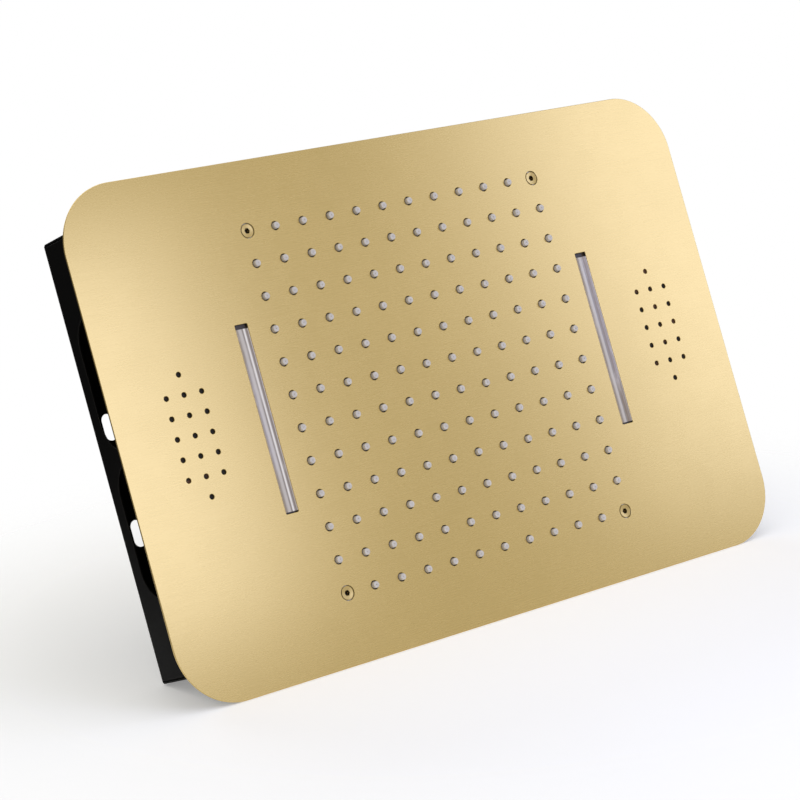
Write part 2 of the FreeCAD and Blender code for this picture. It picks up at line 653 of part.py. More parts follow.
def light(side, sign):
    """Clear bar in its slot, with seal, housing, circuit board and light chips behind it."""
    def unit(name):
        return Piece(f"{name}_{side}", f"{sign}{LIGHT_X}")

    half_x, half_y = "light_flange_width/2", "light_flange_length/2"
    seal = unit("light_seal")
    seal.pad([Rectangle("0", "0", half_x, half_y),
              Rectangle("0", "0", "light_width/2", "light_length/2")], "0", "light_seal_height")
    window = unit("light_window")
    face = "(light_recess - plate_thickness)"
    bar_x, bar_y = "(light_width/2 - light_fit)", "(light_length/2 - light_fit)"
    window.pad([Rectangle("0", "0", bar_x, bar_y)], face, f"light_seal_height - {face}")
    window.dress("Chamfer", "light_chamfer", at_height(value(face)))
    window.pad([Rectangle("0", "0", half_x, half_y)], "light_seal_height", "light_flange_height")
    foot = "(light_seal_height + light_flange_height)"
    housing = unit("light_housing")
    housing.pad([Rectangle("0", "0", half_x, f"({half_y} + light_ear)")], foot, f"{CLAMPED} - {foot}")
    cup = ("(light_width/2 + light_wall)", "(light_length/2 + light_wall)")
    housing.pad([Rectangle("0", "0", *cup)], foot, f"light_depth - {foot}")
    housing.cut([Rectangle("0", "0", "light_width/2", "light_length/2")], foot,
                f"light_depth - light_wall - {foot}")
    housing.cut([Circle("0", f"{end}({half_y} + light_ear/2)", STUD_HOLE) for end in SIDES],
                foot, f"{CLAMPED} - {foot}")
    board = unit("light_board")
    roof = "(light_depth - light_wall)"
    board.pad([Rectangle("0", "0", bar_x, bar_y)], f"{roof} - board_height", "board_height")
    chips = unit("light_chips")
    count = "(floor((light_length - 2*chip_size)/chip_pitch) + 1)"
    chip = chips.pad([Rectangle("0", f"-({count} - 1)/2*chip_pitch", "chip_size/2", "chip_size/2")],
                     f"{roof} - board_height - chip_height", "chip_height")
    chips.repeat(chip, "Y", "chip_pitch", count)


def speaker(side, sign):
    """Oval loudspeaker in its sealed enclosure, behind the sound holes."""
    def unit(name):
        return Piece(f"{name}_{side}", f"{sign}{SPEAKER_X}")

    def oval(radius):
        return Slot("0", "0", radius, SPEAKER_STRAIGHT)

    studs = mirrored(SPEAKER_STUD_X, "speaker_stud_spacing/2")
    holes = [Circle(x, y, STUD_HOLE) for x, y in studs]
    cloth = unit("sound_cloth")
    cloth.pad([oval(f"({CUP_RADIUS} - cloth_border)")], "0", "cloth_height")
    seal = unit("speaker_seal")
    seal.pad([oval("speaker_width/2"), oval(CUP_RADIUS), *holes], "0", "mat_thickness")
    enclosure = unit("speaker_enclosure")
    enclosure.pad([oval("speaker_width/2"), oval(CUP_RADIUS), *holes], "mat_thickness",
                  "flange_thickness")
    wall_top = "(speaker_depth - speaker_wall)"
    enclosure.pad([oval(f"({CUP_RADIUS} + speaker_wall)"), oval(CUP_RADIUS)], "mat_thickness",
                  f"{wall_top} - mat_thickness")
    enclosure.pad([oval(f"({CUP_RADIUS} + speaker_wall)")], wall_top, "speaker_wall")
    enclosure.dress("Fillet", "enclosure_round", at_height(value("speaker_depth")))
    enclosure.pad([oval(CUP_RADIUS), oval(LEDGE_RADIUS)], "ledge_height", "ledge_thickness")
    basket = unit("speaker_basket")
    basket.pad([oval(f"({CUP_RADIUS} - basket_play)"), oval(BASKET_RADIUS)],
               "ledge_height - basket_sheet", "basket_sheet")
    magnet_seat = Slot("0", "0", "(coil_diameter/2 + coil_play + seat_width)", SPEAKER_STRAIGHT)
    low, high = "ledge_height", MAGNET_FRONT
    basket.loft(oval(f"({BASKET_RADIUS} + basket_sheet)"), low, magnet_seat, high)
    inner_seat = Slot("0", "0", "(coil_diameter/2 + coil_play + seat_width - basket_sheet)", SPEAKER_STRAIGHT)
    basket.loft(oval(BASKET_RADIUS), low, inner_seat, f"{high} - basket_sheet", "SubtractiveLoft")
    basket.cut([Circle("0", "0", "(coil_diameter/2 + coil_play)")], f"{high} - 2*basket_sheet",
               "2*basket_sheet")
    magnet = unit("speaker_magnet")
    magnet.pad([Circle("0", "0", "magnet_diameter/2")], MAGNET_FRONT, "magnet_height")
    magnet.cut([Circle("0", "0", "(coil_diameter/2 + coil_play)"),
                Circle("0", "0", f"({COIL_INNER} - coil_play)")], MAGNET_FRONT, "magnet_gap_depth")
    cone = unit("speaker_cone")
    neck = Slot("0", "0", "(coil_diameter/2 + coil_wall)", "coil_wall")
    cone.loft(oval(CONE_RADIUS), CONE_FRONT, neck, CONE_BACK)
    throat = Slot("0", "0", f"({COIL_INNER} - coil_wall)", "coil_wall")
    cone.loft(oval(f"({CONE_RADIUS} - cone_wall)"), CONE_FRONT, throat, CONE_BACK, "SubtractiveLoft")
    surround = unit("speaker_surround")
    surround.pad([oval(f"({BASKET_RADIUS} + basket_sheet)"), oval(CONE_RADIUS)],
                 "ledge_height - basket_sheet - roll_height", "roll_height")
    surround.pad([oval(f"({BASKET_RADIUS} - roll_height)"), oval(f"({CONE_RADIUS} + roll_height)")],
                 "ledge_height - basket_sheet - 2*roll_height", "roll_height")
    coil = unit("voice_coil")
    coil.pad([Circle("0", "0", "coil_diameter/2"), Circle("0", "0", COIL_INNER)], CONE_BACK,
             "coil_height")
    cap = unit("dust_cap")
    rim, foot = f"({COIL_INNER} - coil_wall)", f"({CONE_BACK} - cone_wall)"
    shoulder, rise = f"{rim}*{CAP_SHOULDER}", f"cap_height*{CAP_RISE}"
    cap.turned([("0", f"{foot} - cap_height"), (shoulder, f"{foot} - {rise}"), (rim, foot),
                (f"{rim} - coil_wall", foot), (f"{shoulder} - coil_wall", f"{foot} - {rise} + coil_wall"),
                ("0", f"{foot} - cap_height + coil_wall")])


def controller():
    """Case, lid, circuit board and screws of the light and sound controller."""
    def unit(name):
        return Piece(name, CONTROLLER_X)

    half_x, half_y = "controller_length/2", "controller_width/2"
    posts = mirrored(POST_X, POST_Y)
    case = unit("controller_case")
    case.pad([Rectangle("0", "0", half_x, half_y)], CONTROLLER_FRONT, "controller_height")
    case.dress("Fillet", "controller_wall", upright)
    case.cut([Rectangle("0", "0", f"({half_x} - controller_wall)", f"({half_y} - controller_wall)")],
             CONTROLLER_FRONT, "controller_height - controller_wall")
    case.pad([Rectangle(x, y, "controller_post/2", "controller_post/2") for x, y in posts],
             CONTROLLER_FRONT, "controller_height - controller_wall")
    case.cut([Circle(x, y, "controller_screw/2") for x, y in posts], CONTROLLER_FRONT,
             "controller_height")
    lid = unit("controller_lid")
    lid_foot = f"({CONTROLLER_FRONT} - controller_wall)"
    lid.pad([Rectangle("0", "0", half_x, half_y)], lid_foot, "controller_wall")
    lid.dress("Fillet", "controller_wall", upright)
    lid.cut([Circle(x, y, "controller_screw/2") for x, y in posts], lid_foot, "controller_wall")
    board = unit("controller_board")
    board_x = f"({half_x} - controller_wall - board_play)"
    board_y = f"({half_y} - controller_wall - controller_post - board_play)"
    middle = f"({CONTROLLER_FRONT} + controller_height/2)"
    board.pad([Rectangle("0", "0", board_x, board_y)], middle, "board_height")
    parts = [Rectangle(f"-{board_x}/2", "0", "converter_length/2", "converter_width/2"),
             Rectangle(f"{board_x}/3", f"{board_y}/3", "processor_size/2", "processor_size/2"),
             Circle(f"{board_x}/2", f"-{board_y}/3", "capacitor_diameter/2")]
    board.pad(parts, f"{middle} + board_height", "part_height")
    screws = unit("controller_screws")
    screws.pad([Circle(x, y, "controller_screw") for x, y in posts], f"{lid_foot} - controller_screw/2",
               "controller_screw/2")
    screws.pad([Circle(x, y, "controller_screw/2") for x, y in posts], lid_foot,
               "controller_wall + controller_height + sheet_thickness")
    grommet = Piece("cable_grommet", CONTROLLER_X, "grommet_offset")
    hole, rim = "grommet_hole/2", "(grommet_hole/2 + grommet_rim)"
    low, high = f"({BOX_BACK} - grommet_rim)", "(box_depth + grommet_rim)"
    grommet.turned([("grommet_bore/2", low), (hole, low), (rim, f"{BOX_BACK} - grommet_rim/2"),
                    (rim, BOX_BACK), (hole, BOX_BACK), (hole, "box_depth"), (rim, "box_depth"),
                    (rim, "box_depth + grommet_rim/2"), (hole, high), ("grommet_bore/2", high)])


def wall_windows(piece, way, count, along, plane):
    """Round-ended windows in half a wall, evenly spaced on the way out from the wall's middle."""
    start = "window_pitch/2" if way == "" else f"(window_pitch/2 - {count}*window_pitch)"
    middle = "(window_low_margin + (box_depth - window_low_margin - window_high_margin)/2)"
    straight = f"(window_length/2 - {WINDOW_RADIUS})"
    shape = Slot(start, middle, WINDOW_RADIUS, straight, "X")
    profile = piece.sketch([shape], plane=plane)
    cut = piece.feature("Pocket", profile, Length="3*sheet_thickness", Midplane=True)
    piece.repeat(cut, along, "window_pitch", count)


def end_wall(side, sign, half, way):
    """Half an end wall, with a tab bent round its corner."""
    face, tab_side = ("sheet_thickness/2", "-") if side == "right" else ("-sheet_thickness/2", "+")
    back = f"({face} {tab_side} sheet_thickness)"
    reach = f"({face} {tab_side} tab_width)"
    edge = f"{way}({BOX_Y} - sheet_thickness)"
    bend = f"{way}({BOX_Y} - 2*sheet_thickness)"
    wall = Piece(f"end_wall_{side}_{half}", f"{sign}({BOX_X} - sheet_thickness/2)")
    wall.pad([Outline([(face, "0"), (face, edge), (reach, edge), (reach, bend), (back, bend),
                       (back, "0")])], "0", BOX_BACK)
    corner = (value(f"{sign}{BOX_X}"), value(edge))
    wall.dress("Fillet", "bend_radius", lambda e: upright(e) and math.dist(
        (e.Vertexes[0].X + wall.body.Placement.Base.x, e.Vertexes[0].Y), corner) < 1e-4)
    wall_windows(wall, way, END_WINDOWS, "Y", "YZ_Plane")


def box_walls():
    """Walls of the recess box, each in two halves: the long walls cover the end walls' tabs."""
    for side, sign in (("left", "-"), ("right", "")):
        for half, way in (("front", "-"), ("rear", "")):
            end_wall(side, sign, half, way)
            wall = Piece(f"long_wall_{half}_{side}", "0", f"{way}({BOX_Y} - sheet_thickness/2)")
            wall.pad([Rectangle(f"{sign}{BOX_X}/2", "0", f"{BOX_X}/2", "sheet_thickness/2")],
                     "0", BOX_BACK)
            wall_windows(wall, sign, LONG_WINDOWS, "X", "XZ_Plane")


def back_panel():
    """Back of the recess box, with the hanger slots and the openings for hose and cable."""
    piece = Piece("back_panel")
    through = (BOX_BACK, "sheet_thickness")
    piece.pad([Rectangle("0", "0", BOX_X, BOX_Y)], *through)
    piece.dress("Fillet", "bend_radius", upright)
    piece.cut([Slot(f"{side}{HANGER_X}", f"hanger_offset {way} hanger_spacing/2",
                    "hanger_slot_width/2", "(hanger_slot_length - hanger_slot_width)/2")
               for side in SIDES for way in ("+", "-")], *through)
    piece.cut([Circle("0", "0", "hose_port/2"), Circle(CONTROLLER_X, "grommet_offset", "grommet_hole/2")],
              *through)
    piece.cut([Circle(x, y, "(screw_thread/2 + screw_play)") for x, y in mirrored(GRID_X, GRID_Y)],
              *through)
    piece.cut([Circle(f"({CONTROLLER_X} {a} {POST_X})", f"{b}{POST_Y}", "controller_screw/2")
               for a in ("+", "-") for b in SIDES], *through)


face_plate()
rim_seal()
nozzle_mat()
water_chamber()
studs_and_nuts()
inlet()
pillars()
for side, sign in (("left", "-"), ("right", "")):
    light(side, sign)
    speaker(side, sign)
controller()
box_walls()
back_panel()
doc.recompute()

failed = [item.Name for item in doc.Objects if {"Invalid", "Error"} & set(item.State)]
failed += [body.Label for body in PIECES if body.Shape.isNull() or not body.Shape.isValid()]
if failed:
    raise RuntimeError(f"failed: {failed}")

os.makedirs("parts", exist_ok=True)
for body in PIECES:
    body.Shape.exportStep(f"parts/{body.Label}.step")
    box = body.Shape.BoundBox
    print(f"{body.Label:24s} solids {len(body.Shape.Solids):3d}  volume {body.Shape.Volume:12.1f}"
          f"  x {box.XMin:8.2f} {box.XMax:8.2f}  y {box.YMin:8.2f} {box.YMax:8.2f}"
          f"  z {box.ZMin:6.2f} {box.ZMax:6.2f}")
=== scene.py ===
"""Looks of a recessed ceiling shower head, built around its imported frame."""

import logging
import math
from dataclasses import dataclass
from enum import Enum
from typing import Iterable, Sequence, Union

import bmesh
import bpy
from mathutils import Matrix, Vector


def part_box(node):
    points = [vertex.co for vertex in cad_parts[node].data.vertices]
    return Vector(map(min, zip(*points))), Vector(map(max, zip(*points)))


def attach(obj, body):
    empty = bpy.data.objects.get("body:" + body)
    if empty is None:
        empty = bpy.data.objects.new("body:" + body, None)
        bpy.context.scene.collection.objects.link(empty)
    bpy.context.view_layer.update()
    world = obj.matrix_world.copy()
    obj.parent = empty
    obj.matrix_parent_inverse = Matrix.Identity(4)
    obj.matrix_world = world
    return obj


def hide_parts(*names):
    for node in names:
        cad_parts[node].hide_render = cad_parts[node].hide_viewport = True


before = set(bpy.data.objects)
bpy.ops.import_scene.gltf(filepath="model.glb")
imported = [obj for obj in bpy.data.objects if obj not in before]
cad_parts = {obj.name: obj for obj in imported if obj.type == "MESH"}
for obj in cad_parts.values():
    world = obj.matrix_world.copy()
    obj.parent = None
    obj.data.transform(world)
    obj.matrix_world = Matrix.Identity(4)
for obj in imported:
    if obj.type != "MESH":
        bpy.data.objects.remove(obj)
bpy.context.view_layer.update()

LOG = logging.getLogger("shower")
MM = 0.001
SAME_PLACE = 2e-6       # points of a CAD mesh nearer than this are one point
SAME_MADE = 1e-7        # the same for a mesh that is made here
ROOT = "shower_frame"
MIX_FACTOR, MIX_FIRST, MIX_SECOND, MIX_RESULT = 0, 6, 7, 2      # colour sockets of a Mix node
Number = Union["Wire", float, int]
Colour = tuple[float, float, float]
Place = tuple[float, float, float]
Point = tuple[float, float]
Stops = Sequence[tuple[float, Sequence[float]]]


# --------------------------------------------------------------------------
# Names and colours
# --------------------------------------------------------------------------


class Side(str, Enum):
    """The two ends of the head, named as the nodes are."""

    LEFT = "left"
    RIGHT = "right"

    @property
    def sign(self) -> int:
        """-1 on the left, 1 on the right."""
        return -1 if self is Side.LEFT else 1

    def of(self, stem: str) -> str:
        """A node's name on this side."""
        return f"{stem}_{self.value}"


def both(*stems: str) -> list[str]:
    """Names of nodes that stand on either side."""
    return [side.of(stem) for stem in stems for side in Side]


def scaled(colour: Colour, factor: float) -> Colour:
    """A colour made darker or lighter, held at 1."""
    return tuple(min(1.0, channel * factor) for channel in colour)


# --------------------------------------------------------------------------
# Shader trees
# --------------------------------------------------------------------------


class Wire:
    """One output of a shader node, on which sums are written as expressions."""

    def __init__(self, tree: "Tree", socket: bpy.types.NodeSocket) -> None:
        """Wraps a socket of a tree's node."""
        self.tree = tree
        self.socket = socket

    def _sum(self, operation: str, first: Number, second: Number = 0.0) -> "Wire":
        """Adds one Math node.

        Args:
            operation: the Math node's operation.
            first: its first value.
            second: its second value.

        Returns:
            The node's result.
        """
        return self.tree.node("ShaderNodeMath", {"operation": operation}, {0: first, 1: second})

    def __add__(self, other: Number) -> "Wire":
        """self + other."""
        return self._sum("ADD", self, other)

    __radd__ = __add__

    def __sub__(self, other: Number) -> "Wire":
        """self - other."""
        return self._sum("SUBTRACT", self, other)

    def __rsub__(self, other: Number) -> "Wire":
        """other - self."""
        return self._sum("SUBTRACT", other, self)

    def __mul__(self, other: Number) -> "Wire":
        """self * other."""
        return self._sum("MULTIPLY", self, other)

    __rmul__ = __mul__

    def __truediv__(self, other: Number) -> "Wire":
        """self / other."""
        return self._sum("DIVIDE", self, other)

    def __pow__(self, other: Number) -> "Wire":
        """self to the power of other."""
        return self._sum("POWER", self, other)

    def __abs__(self) -> "Wire":
        """Size of self without its sign."""
        return self._sum("ABSOLUTE", self)

    def sign(self) -> "Wire":
        """-1, 0 or 1."""
        return self._sum("SIGN", self)

    def sine(self) -> "Wire":
        """Sine of self, in radians."""
        return self._sum("SINE", self)

    def held(self, low: float, high: float) -> "Wire":
        """Maps low..high to 0..1 and holds it there."""
        return self.tree.node(
            "ShaderNodeMapRange", {"clamp": True, "interpolation_type": "SMOOTHSTEP"},
            {"Value": self, "From Min": low, "From Max": high})


class Tree:
    """Nodes of a material or of the world."""

    def __init__(self, nodes: bpy.types.NodeTree) -> None:
        """Empties the tree."""
        self.nodes = nodes
        self.nodes.nodes.clear()

    def node(self, kind: str, settings: dict | None = None, inputs: dict | None = None,
             output: int | str = 0) -> Wire:
        """Adds any node.

        Args:
            kind: the node's type.
            settings: what is set on the node itself, before its sockets.
            inputs: values or wires by socket name or number.
            output: which output is returned.

        Returns:
            The chosen output, or the node's first input where it has no output.
        """
        made = self.nodes.nodes.new(kind)
        for name, value in (settings or {}).items():
            if name == "stops":
                self._stops(made.color_ramp, value)
            else:
                setattr(made, name, value)
        for key, value in (inputs or {}).items():
            self.plug(made.inputs[key], value)
        return Wire(self, made.outputs[output] if made.outputs else made.inputs[0])

    @staticmethod
    def _stops(ramp: bpy.types.ColorRamp, stops: Stops) -> None:
        """Gives a ramp its stops, as (place, colour) pairs."""
        while len(ramp.elements) > 1:
            ramp.elements.remove(ramp.elements[-1])
        for index, (place, colour) in enumerate(stops):
            element = ramp.elements[0] if index == 0 else ramp.elements.new(place)
            element.position = place
            element.color = (*colour, 1.0)

    def plug(self, socket: bpy.types.NodeSocket, value: object) -> None:
        """Links a wire to a socket, or sets the socket's own value."""
        if isinstance(value, Wire):
            self.nodes.links.new(value.socket, socket)
        elif isinstance(value, (tuple, list)) and len(value) == 3 and socket.type == "RGBA":
            socket.default_value = (*value, 1.0)
        else:
            socket.default_value = value

    def axes(self, point: Wire) -> tuple[Wire, Wire, Wire]:
        """X, Y and Z of a vector."""
        split = self.node("ShaderNodeSeparateXYZ", None, {0: point})
        return tuple(Wire(self, socket) for socket in split.socket.node.outputs)


class Shader(Tree):
    """A material's tree, built round one Principled shader."""

    def __init__(self, name: str) -> None:
        """Makes an empty material with a shader and an output."""
        self.material = bpy.data.materials.new(name)
        self.material.use_nodes = True
        super().__init__(self.material.node_tree)
        made = self.node("ShaderNodeBsdfPrincipled")
        self.surface = made.socket.node
        self.output = self.node("ShaderNodeOutputMaterial", None, {"Surface": made}).socket
        self.point = self.node("ShaderNodeTexCoord", output="Object")

    def places(self) -> tuple[Wire, Wire, Wire]:
        """X, Y and Z of the object coordinates."""
        return self.axes(self.point)

    def stretched(self, scale: Sequence[float]) -> Wire:
        """Object coordinates scaled by three factors."""
        return self.node("ShaderNodeMapping", {"vector_type": "POINT"},
                         {"Vector": self.point, "Scale": scale})

    def noise(self, scale: float, detail: float = 3.0, rough: float = 0.55,
              vector: Wire | None = None) -> Wire:
        """Noise from 0 to 1, with its scale in cells per metre."""
        return self.node("ShaderNodeTexNoise", {"noise_dimensions": "3D"},
                         {"Vector": vector or self.point, "Scale": scale, "Detail": detail,
                          "Roughness": rough})

    def spots(self, scale: float, vector: Wire | None = None) -> Wire:
        """Distance to the nearest of scattered points, with its scale in cells per metre."""
        return self.node("ShaderNodeTexVoronoi", {"feature": "F1"},
                         {"Vector": vector or self.point, "Scale": scale}, "Distance")

    def ramp(self, factor: Number, stops: Stops) -> Wire:
        """Colour along a ramp."""
        return self.node("ShaderNodeValToRGB", {"stops": stops}, {"Fac": factor}, "Color")

    def mix(self, factor: Number, first: object, second: object) -> Wire:
        """Mixes two colours by a factor."""
        return self.node("ShaderNodeMix", {"data_type": "RGBA"},
                         {MIX_FACTOR: factor, MIX_FIRST: first, MIX_SECOND: second},
                         MIX_RESULT)

    def shade(self, colour: Colour, factor: Wire, depth: float) -> Wire:
        """A colour that darkens by depth where the factor is 0."""
        return self.mix(factor, scaled(colour, 1.0 - depth), colour)

    def worn(self, radius: float) -> Wire:
        """1 along the outer edges of the piece, 0 on its faces."""
        bevel = self.node("ShaderNodeBevel", {"samples": 4}, {"Radius": radius})
        true = self.node("ShaderNodeNewGeometry", output="True Normal")
        dot = self.node("ShaderNodeVectorMath", {"operation": "DOT_PRODUCT"},
                        {0: bevel, 1: true}, "Value")
        return (1.0 - dot).held(0.02, 0.25)

    def bump(self, height: Wire, distance: float, strength: float = 1.0) -> None:
        """Raises the surface by a height of at most distance, in metres."""
        made = self.node("ShaderNodeBump", None,
                         {"Height": height, "Distance": distance, "Strength": strength})
        self.plug(self.surface.inputs["Normal"], made)

    def finish(self, **values: object) -> bpy.types.Material:
        """Sets the shader's sockets by name, with _ for a space, and returns the material."""
        for name, value in values.items():
            self.plug(self.surface.inputs[name.replace("_", " ")], value)
        return self.material


# --------------------------------------------------------------------------
# Finishes
# --------------------------------------------------------------------------


@dataclass(frozen=True)
class SatinGold:
    """Titanium-gold coating on a plate with a fine satin grind."""

    name: str = "satin_gold"
    colour: Colour = (0.70, 0.515, 0.200)
    roughness: float = 0.27

    def build(self) -> bpy.types.Material:
        """Returns the finish as a material."""
        shader = Shader(self.name)
        cloud = shader.noise(6.0, 2.0)
        grain = shader.noise(2600.0, 2.0, 0.7)
        streak = shader.noise(900.0, 2.0, 0.6, shader.stretched((0.03, 1.0, 1.0)))
        rub = shader.noise(45.0, 4.0, 0.6)
        colour = shader.shade(self.colour, cloud.held(0.3, 0.7), 0.03)
        rough = self.roughness + (grain - 0.5) * 0.06 + (streak - 0.5) * 0.04 + (rub - 0.5) * 0.04
        shader.bump(grain * 0.6 + streak * 0.4, 0.000003, 0.12)
        return shader.finish(Base_Color=colour, Metallic=1.0, Roughness=rough)


@dataclass(frozen=True)
class TurnedGold:
    """Gold screw heads, turned on a lathe: rings round each axis painted lighter and darker as a
    highlight, and painted shade at the rim and in the socket.
    """

    axis_x: float
    axis_y: float
    socket: float
    rim: float
    name: str = "turned_gold"
    colour: Colour = (0.66, 0.485, 0.19)
    # painted shade: the near-black on the head's rim and inside its hex socket
    painted_shade: Colour = (0.012, 0.008, 0.005)
    ring: float = 0.0007

    def build(self) -> bpy.types.Material:
        """Returns the finish as a material."""
        shader = Shader(self.name)
        x, y, _ = shader.places()
        across, along = abs(x) - self.axis_x, abs(y) - self.axis_y
        radius = (across * across + along * along) ** 0.5
        rings = (radius * (2.0 * math.pi / self.ring)).sine() * 0.5 + 0.5
        grime = shader.noise(700.0, 3.0)
        # painted highlight: the rings make the colour lighter and darker in turns, as light on
        # turned rings; the grime darkens it at random
        face = shader.mix(rings * 0.3 + grime * 0.2, self.colour, scaled(self.colour, 0.66))
        # painted shade: the rim of the head and the inside of its socket are painted near black
        edge = radius.held(self.rim - 0.0003, self.rim)
        socket_shade = 1.0 - radius.held(self.socket - 0.0001, self.socket + 0.0002)
        colour = shader.mix(edge * 0.85, shader.mix(socket_shade, face, self.painted_shade), self.painted_shade)
        shader.bump(rings, 0.00002, 0.35)
        return shader.finish(Base_Color=colour, Metallic=1.0, Roughness=0.27 + grime * 0.12)


@dataclass(frozen=True)
class Silicone:
    """Soft moulded silicone or rubber with a matt skin."""

    name: str
    colour: Colour
    roughness: float = 0.5
    grain: float = 1400.0
    sheen: float = 0.0

    def build(self) -> bpy.types.Material:
        """Returns the finish as a material."""
        shader = Shader(self.name)
        cloud = shader.noise(160.0, 3.0)
        skin = shader.noise(self.grain, 3.0, 0.6)
        colour = shader.shade(self.colour, cloud.held(0.25, 0.7), 0.18)
        shader.bump(skin, 0.00004, 0.4)
        return shader.finish(Base_Color=colour, Roughness=self.roughness + (skin - 0.5) * 0.2,
                             Sheen_Weight=self.sheen, Sheen_Roughness=0.4)


@dataclass(frozen=True)
class LightRod:
    """Clear moulded light rod: bands of reflected and refracted light are painted along it, as a
    lens would gather them.
    """

    name: str
    middle: float
    half_width: float
    # painted highlight and painted dim band among the painted bands of light
    painted_glint: Colour
    painted_dim_band: Colour
    flaw: Colour = (0.70, 0.64, 0.59)

    def bands(self) -> Stops:
        """Painted reflections and refracted light across the rod, from its low X edge to its high
        X edge.
        """
        return (
            (0.00, (0.46, 0.37, 0.27)), (0.11, (0.30, 0.25, 0.21)), (0.21, (0.54, 0.49, 0.44)),
            (0.32, (0.62, 0.57, 0.52)), (0.41, (0.55, 0.50, 0.46)), (0.48, (0.26, 0.22, 0.19)),
            (0.53, (0.32, 0.28, 0.25)), (0.58, self.painted_glint), (0.68, self.painted_glint),
            (0.74, (0.30, 0.25, 0.22)), (0.79, self.painted_dim_band), (0.86, (0.20, 0.16, 0.13)),
            (0.93, (0.52, 0.46, 0.39)), (1.00, (0.60, 0.52, 0.42)))

    def build(self) -> bpy.types.Material:
        """Returns the finish as a material."""
        shader = Shader(self.name)
        x, _, _ = shader.places()
        drift = shader.noise(24.0, 2.0, 0.5, shader.stretched((1.0, 0.6, 1.0)))
        fleck = shader.noise(90.0, 4.0, 0.65, shader.stretched((3.0, 0.5, 1.0)))
        across = (x - self.middle) / (2.0 * self.half_width) + 0.5
        place = across + (drift - 0.5) * 0.06 + (fleck - 0.5) * 0.05
        # painted light: the rod's colour is bands of reflected and refracted light
        bands = shader.ramp(place, self.bands())
        colour = shader.mix(fleck.held(0.50, 0.70) * 0.4, bands, self.flaw)
        shader.bump(fleck, 0.00008, 0.2)
        return shader.finish(Base_Color=colour, Roughness=0.16 + fleck * 0.1, IOR=1.49,
                             Coat_Weight=0.3, Coat_Roughness=0.08)


@dataclass(frozen=True)
class Moulded:
    """Injection-moulded plastic with a fine spark-eroded texture."""

    name: str
    colour: Colour
    roughness: float = 0.48
    grain: float = 1800.0
    wear: float = 0.25

    def build(self) -> bpy.types.Material:
        """Returns the finish as a material."""
        shader = Shader(self.name)
        grain = shader.noise(self.grain, 2.0, 0.6)
        cloud = shader.noise(35.0, 3.0)
        edge = shader.worn(0.0006)
        pale = tuple(channel + (1.0 - channel) * self.wear * 0.4 for channel in self.colour)
        body = shader.shade(self.colour, cloud.held(0.3, 0.75), 0.12)
        shader.bump(grain, 0.00003, 0.5)
        return shader.finish(Base_Color=shader.mix(edge * self.wear, body, pale),
                             Roughness=self.roughness + (grain - 0.5) * 0.16 - edge * 0.08)


@dataclass(frozen=True)
class PowderCoat:
    """Black powder coat on folded sheet, with a slight orange peel and lighter edges, partly worn
    paint and partly a painted highlight.
    """

    name: str = "powder_coat"
    colour: Colour = (0.0022, 0.0020, 0.0019)
    dusty: Colour = (0.0065, 0.0060, 0.0056)
    # lighter edge colour: partly worn paint, partly a painted highlight where light catches the
    # sheet's edges
    rubbed_and_painted_highlight: Colour = (0.11, 0.105, 0.10)
    roughness: float = 0.44

    def build(self) -> bpy.types.Material:
        """Returns the finish as a material."""
        shader = Shader(self.name)
        peel = shader.noise(520.0, 2.0, 0.5)
        speck = shader.spots(1500.0)
        dust = shader.noise(14.0, 5.0, 0.65)
        edge = shader.worn(0.0007)
        body = shader.mix(dust.held(0.5, 0.8) * 0.55, self.colour, self.dusty)
        # the edges are lightened partly as wear and partly as a painted highlight
        colour = shader.mix(edge * 0.7, body, self.rubbed_and_painted_highlight)
        rough = (self.roughness + (peel - 0.5) * 0.14 + speck.held(0.0, 0.5) * 0.05
                 + dust.held(0.45, 0.8) * 0.12 - edge * 0.1)
        shader.bump(peel * 0.8 + speck * 0.2, 0.00005, 0.45)
        return shader.finish(Base_Color=colour, Roughness=rough, Specular_IOR_Level=0.07)


@dataclass(frozen=True)
class RolledSteel:
    """Stainless or plated steel with a drawn grain along one axis."""

    name: str
    colour: Colour = (0.56, 0.555, 0.54)
    roughness: float = 0.33
    stretch: tuple[float, float, float] = (0.04, 1.0, 1.0)
    grain: float = 1300.0

    def build(self) -> bpy.types.Material:
        """Returns the finish as a material."""
        shader = Shader(self.name)
        streak = shader.noise(self.grain, 3.0, 0.65, shader.stretched(self.stretch))
        cloud = shader.noise(22.0, 4.0, 0.6)
        edge = shader.worn(0.0005)
        body = shader.mix(streak * 0.35 + cloud * 0.25, self.colour, scaled(self.colour, 0.68))
        colour = shader.mix(edge * 0.4, body, scaled(self.colour, 1.35))
        rough = self.roughness + (streak - 0.5) * 0.22 + (cloud - 0.5) * 0.12
        shader.bump(streak, 0.000012, 0.5)
        return shader.finish(Base_Color=colour, Metallic=1.0, Roughness=rough)


@dataclass(frozen=True)
class TurnedBrass:
    """Machined brass with fine tool rings about the inlet's axis."""

    name: str = "turned_brass"
    colour: Colour = (0.72, 0.50, 0.20)
    tarnished: Colour = (0.36, 0.21, 0.08)
    ring: float = 0.0006

    def build(self) -> bpy.types.Material:
        """Returns the finish as a material."""
        shader = Shader(self.name)
        x, y, z = shader.places()
        radius = (x * x + y * y) ** 0.5
        rings = ((radius + z) * (2.0 * math.pi / self.ring)).sine() * 0.5 + 0.5
        tarnish = shader.noise(120.0, 5.0, 0.65)
        colour = shader.mix(tarnish.held(0.42, 0.75) * 0.6, self.colour, self.tarnished)
        shader.bump(rings, 0.00002, 0.4)
        return shader.finish(Base_Color=colour, Metallic=1.0,
                             Roughness=0.24 + tarnish * 0.2 + rings * 0.05)


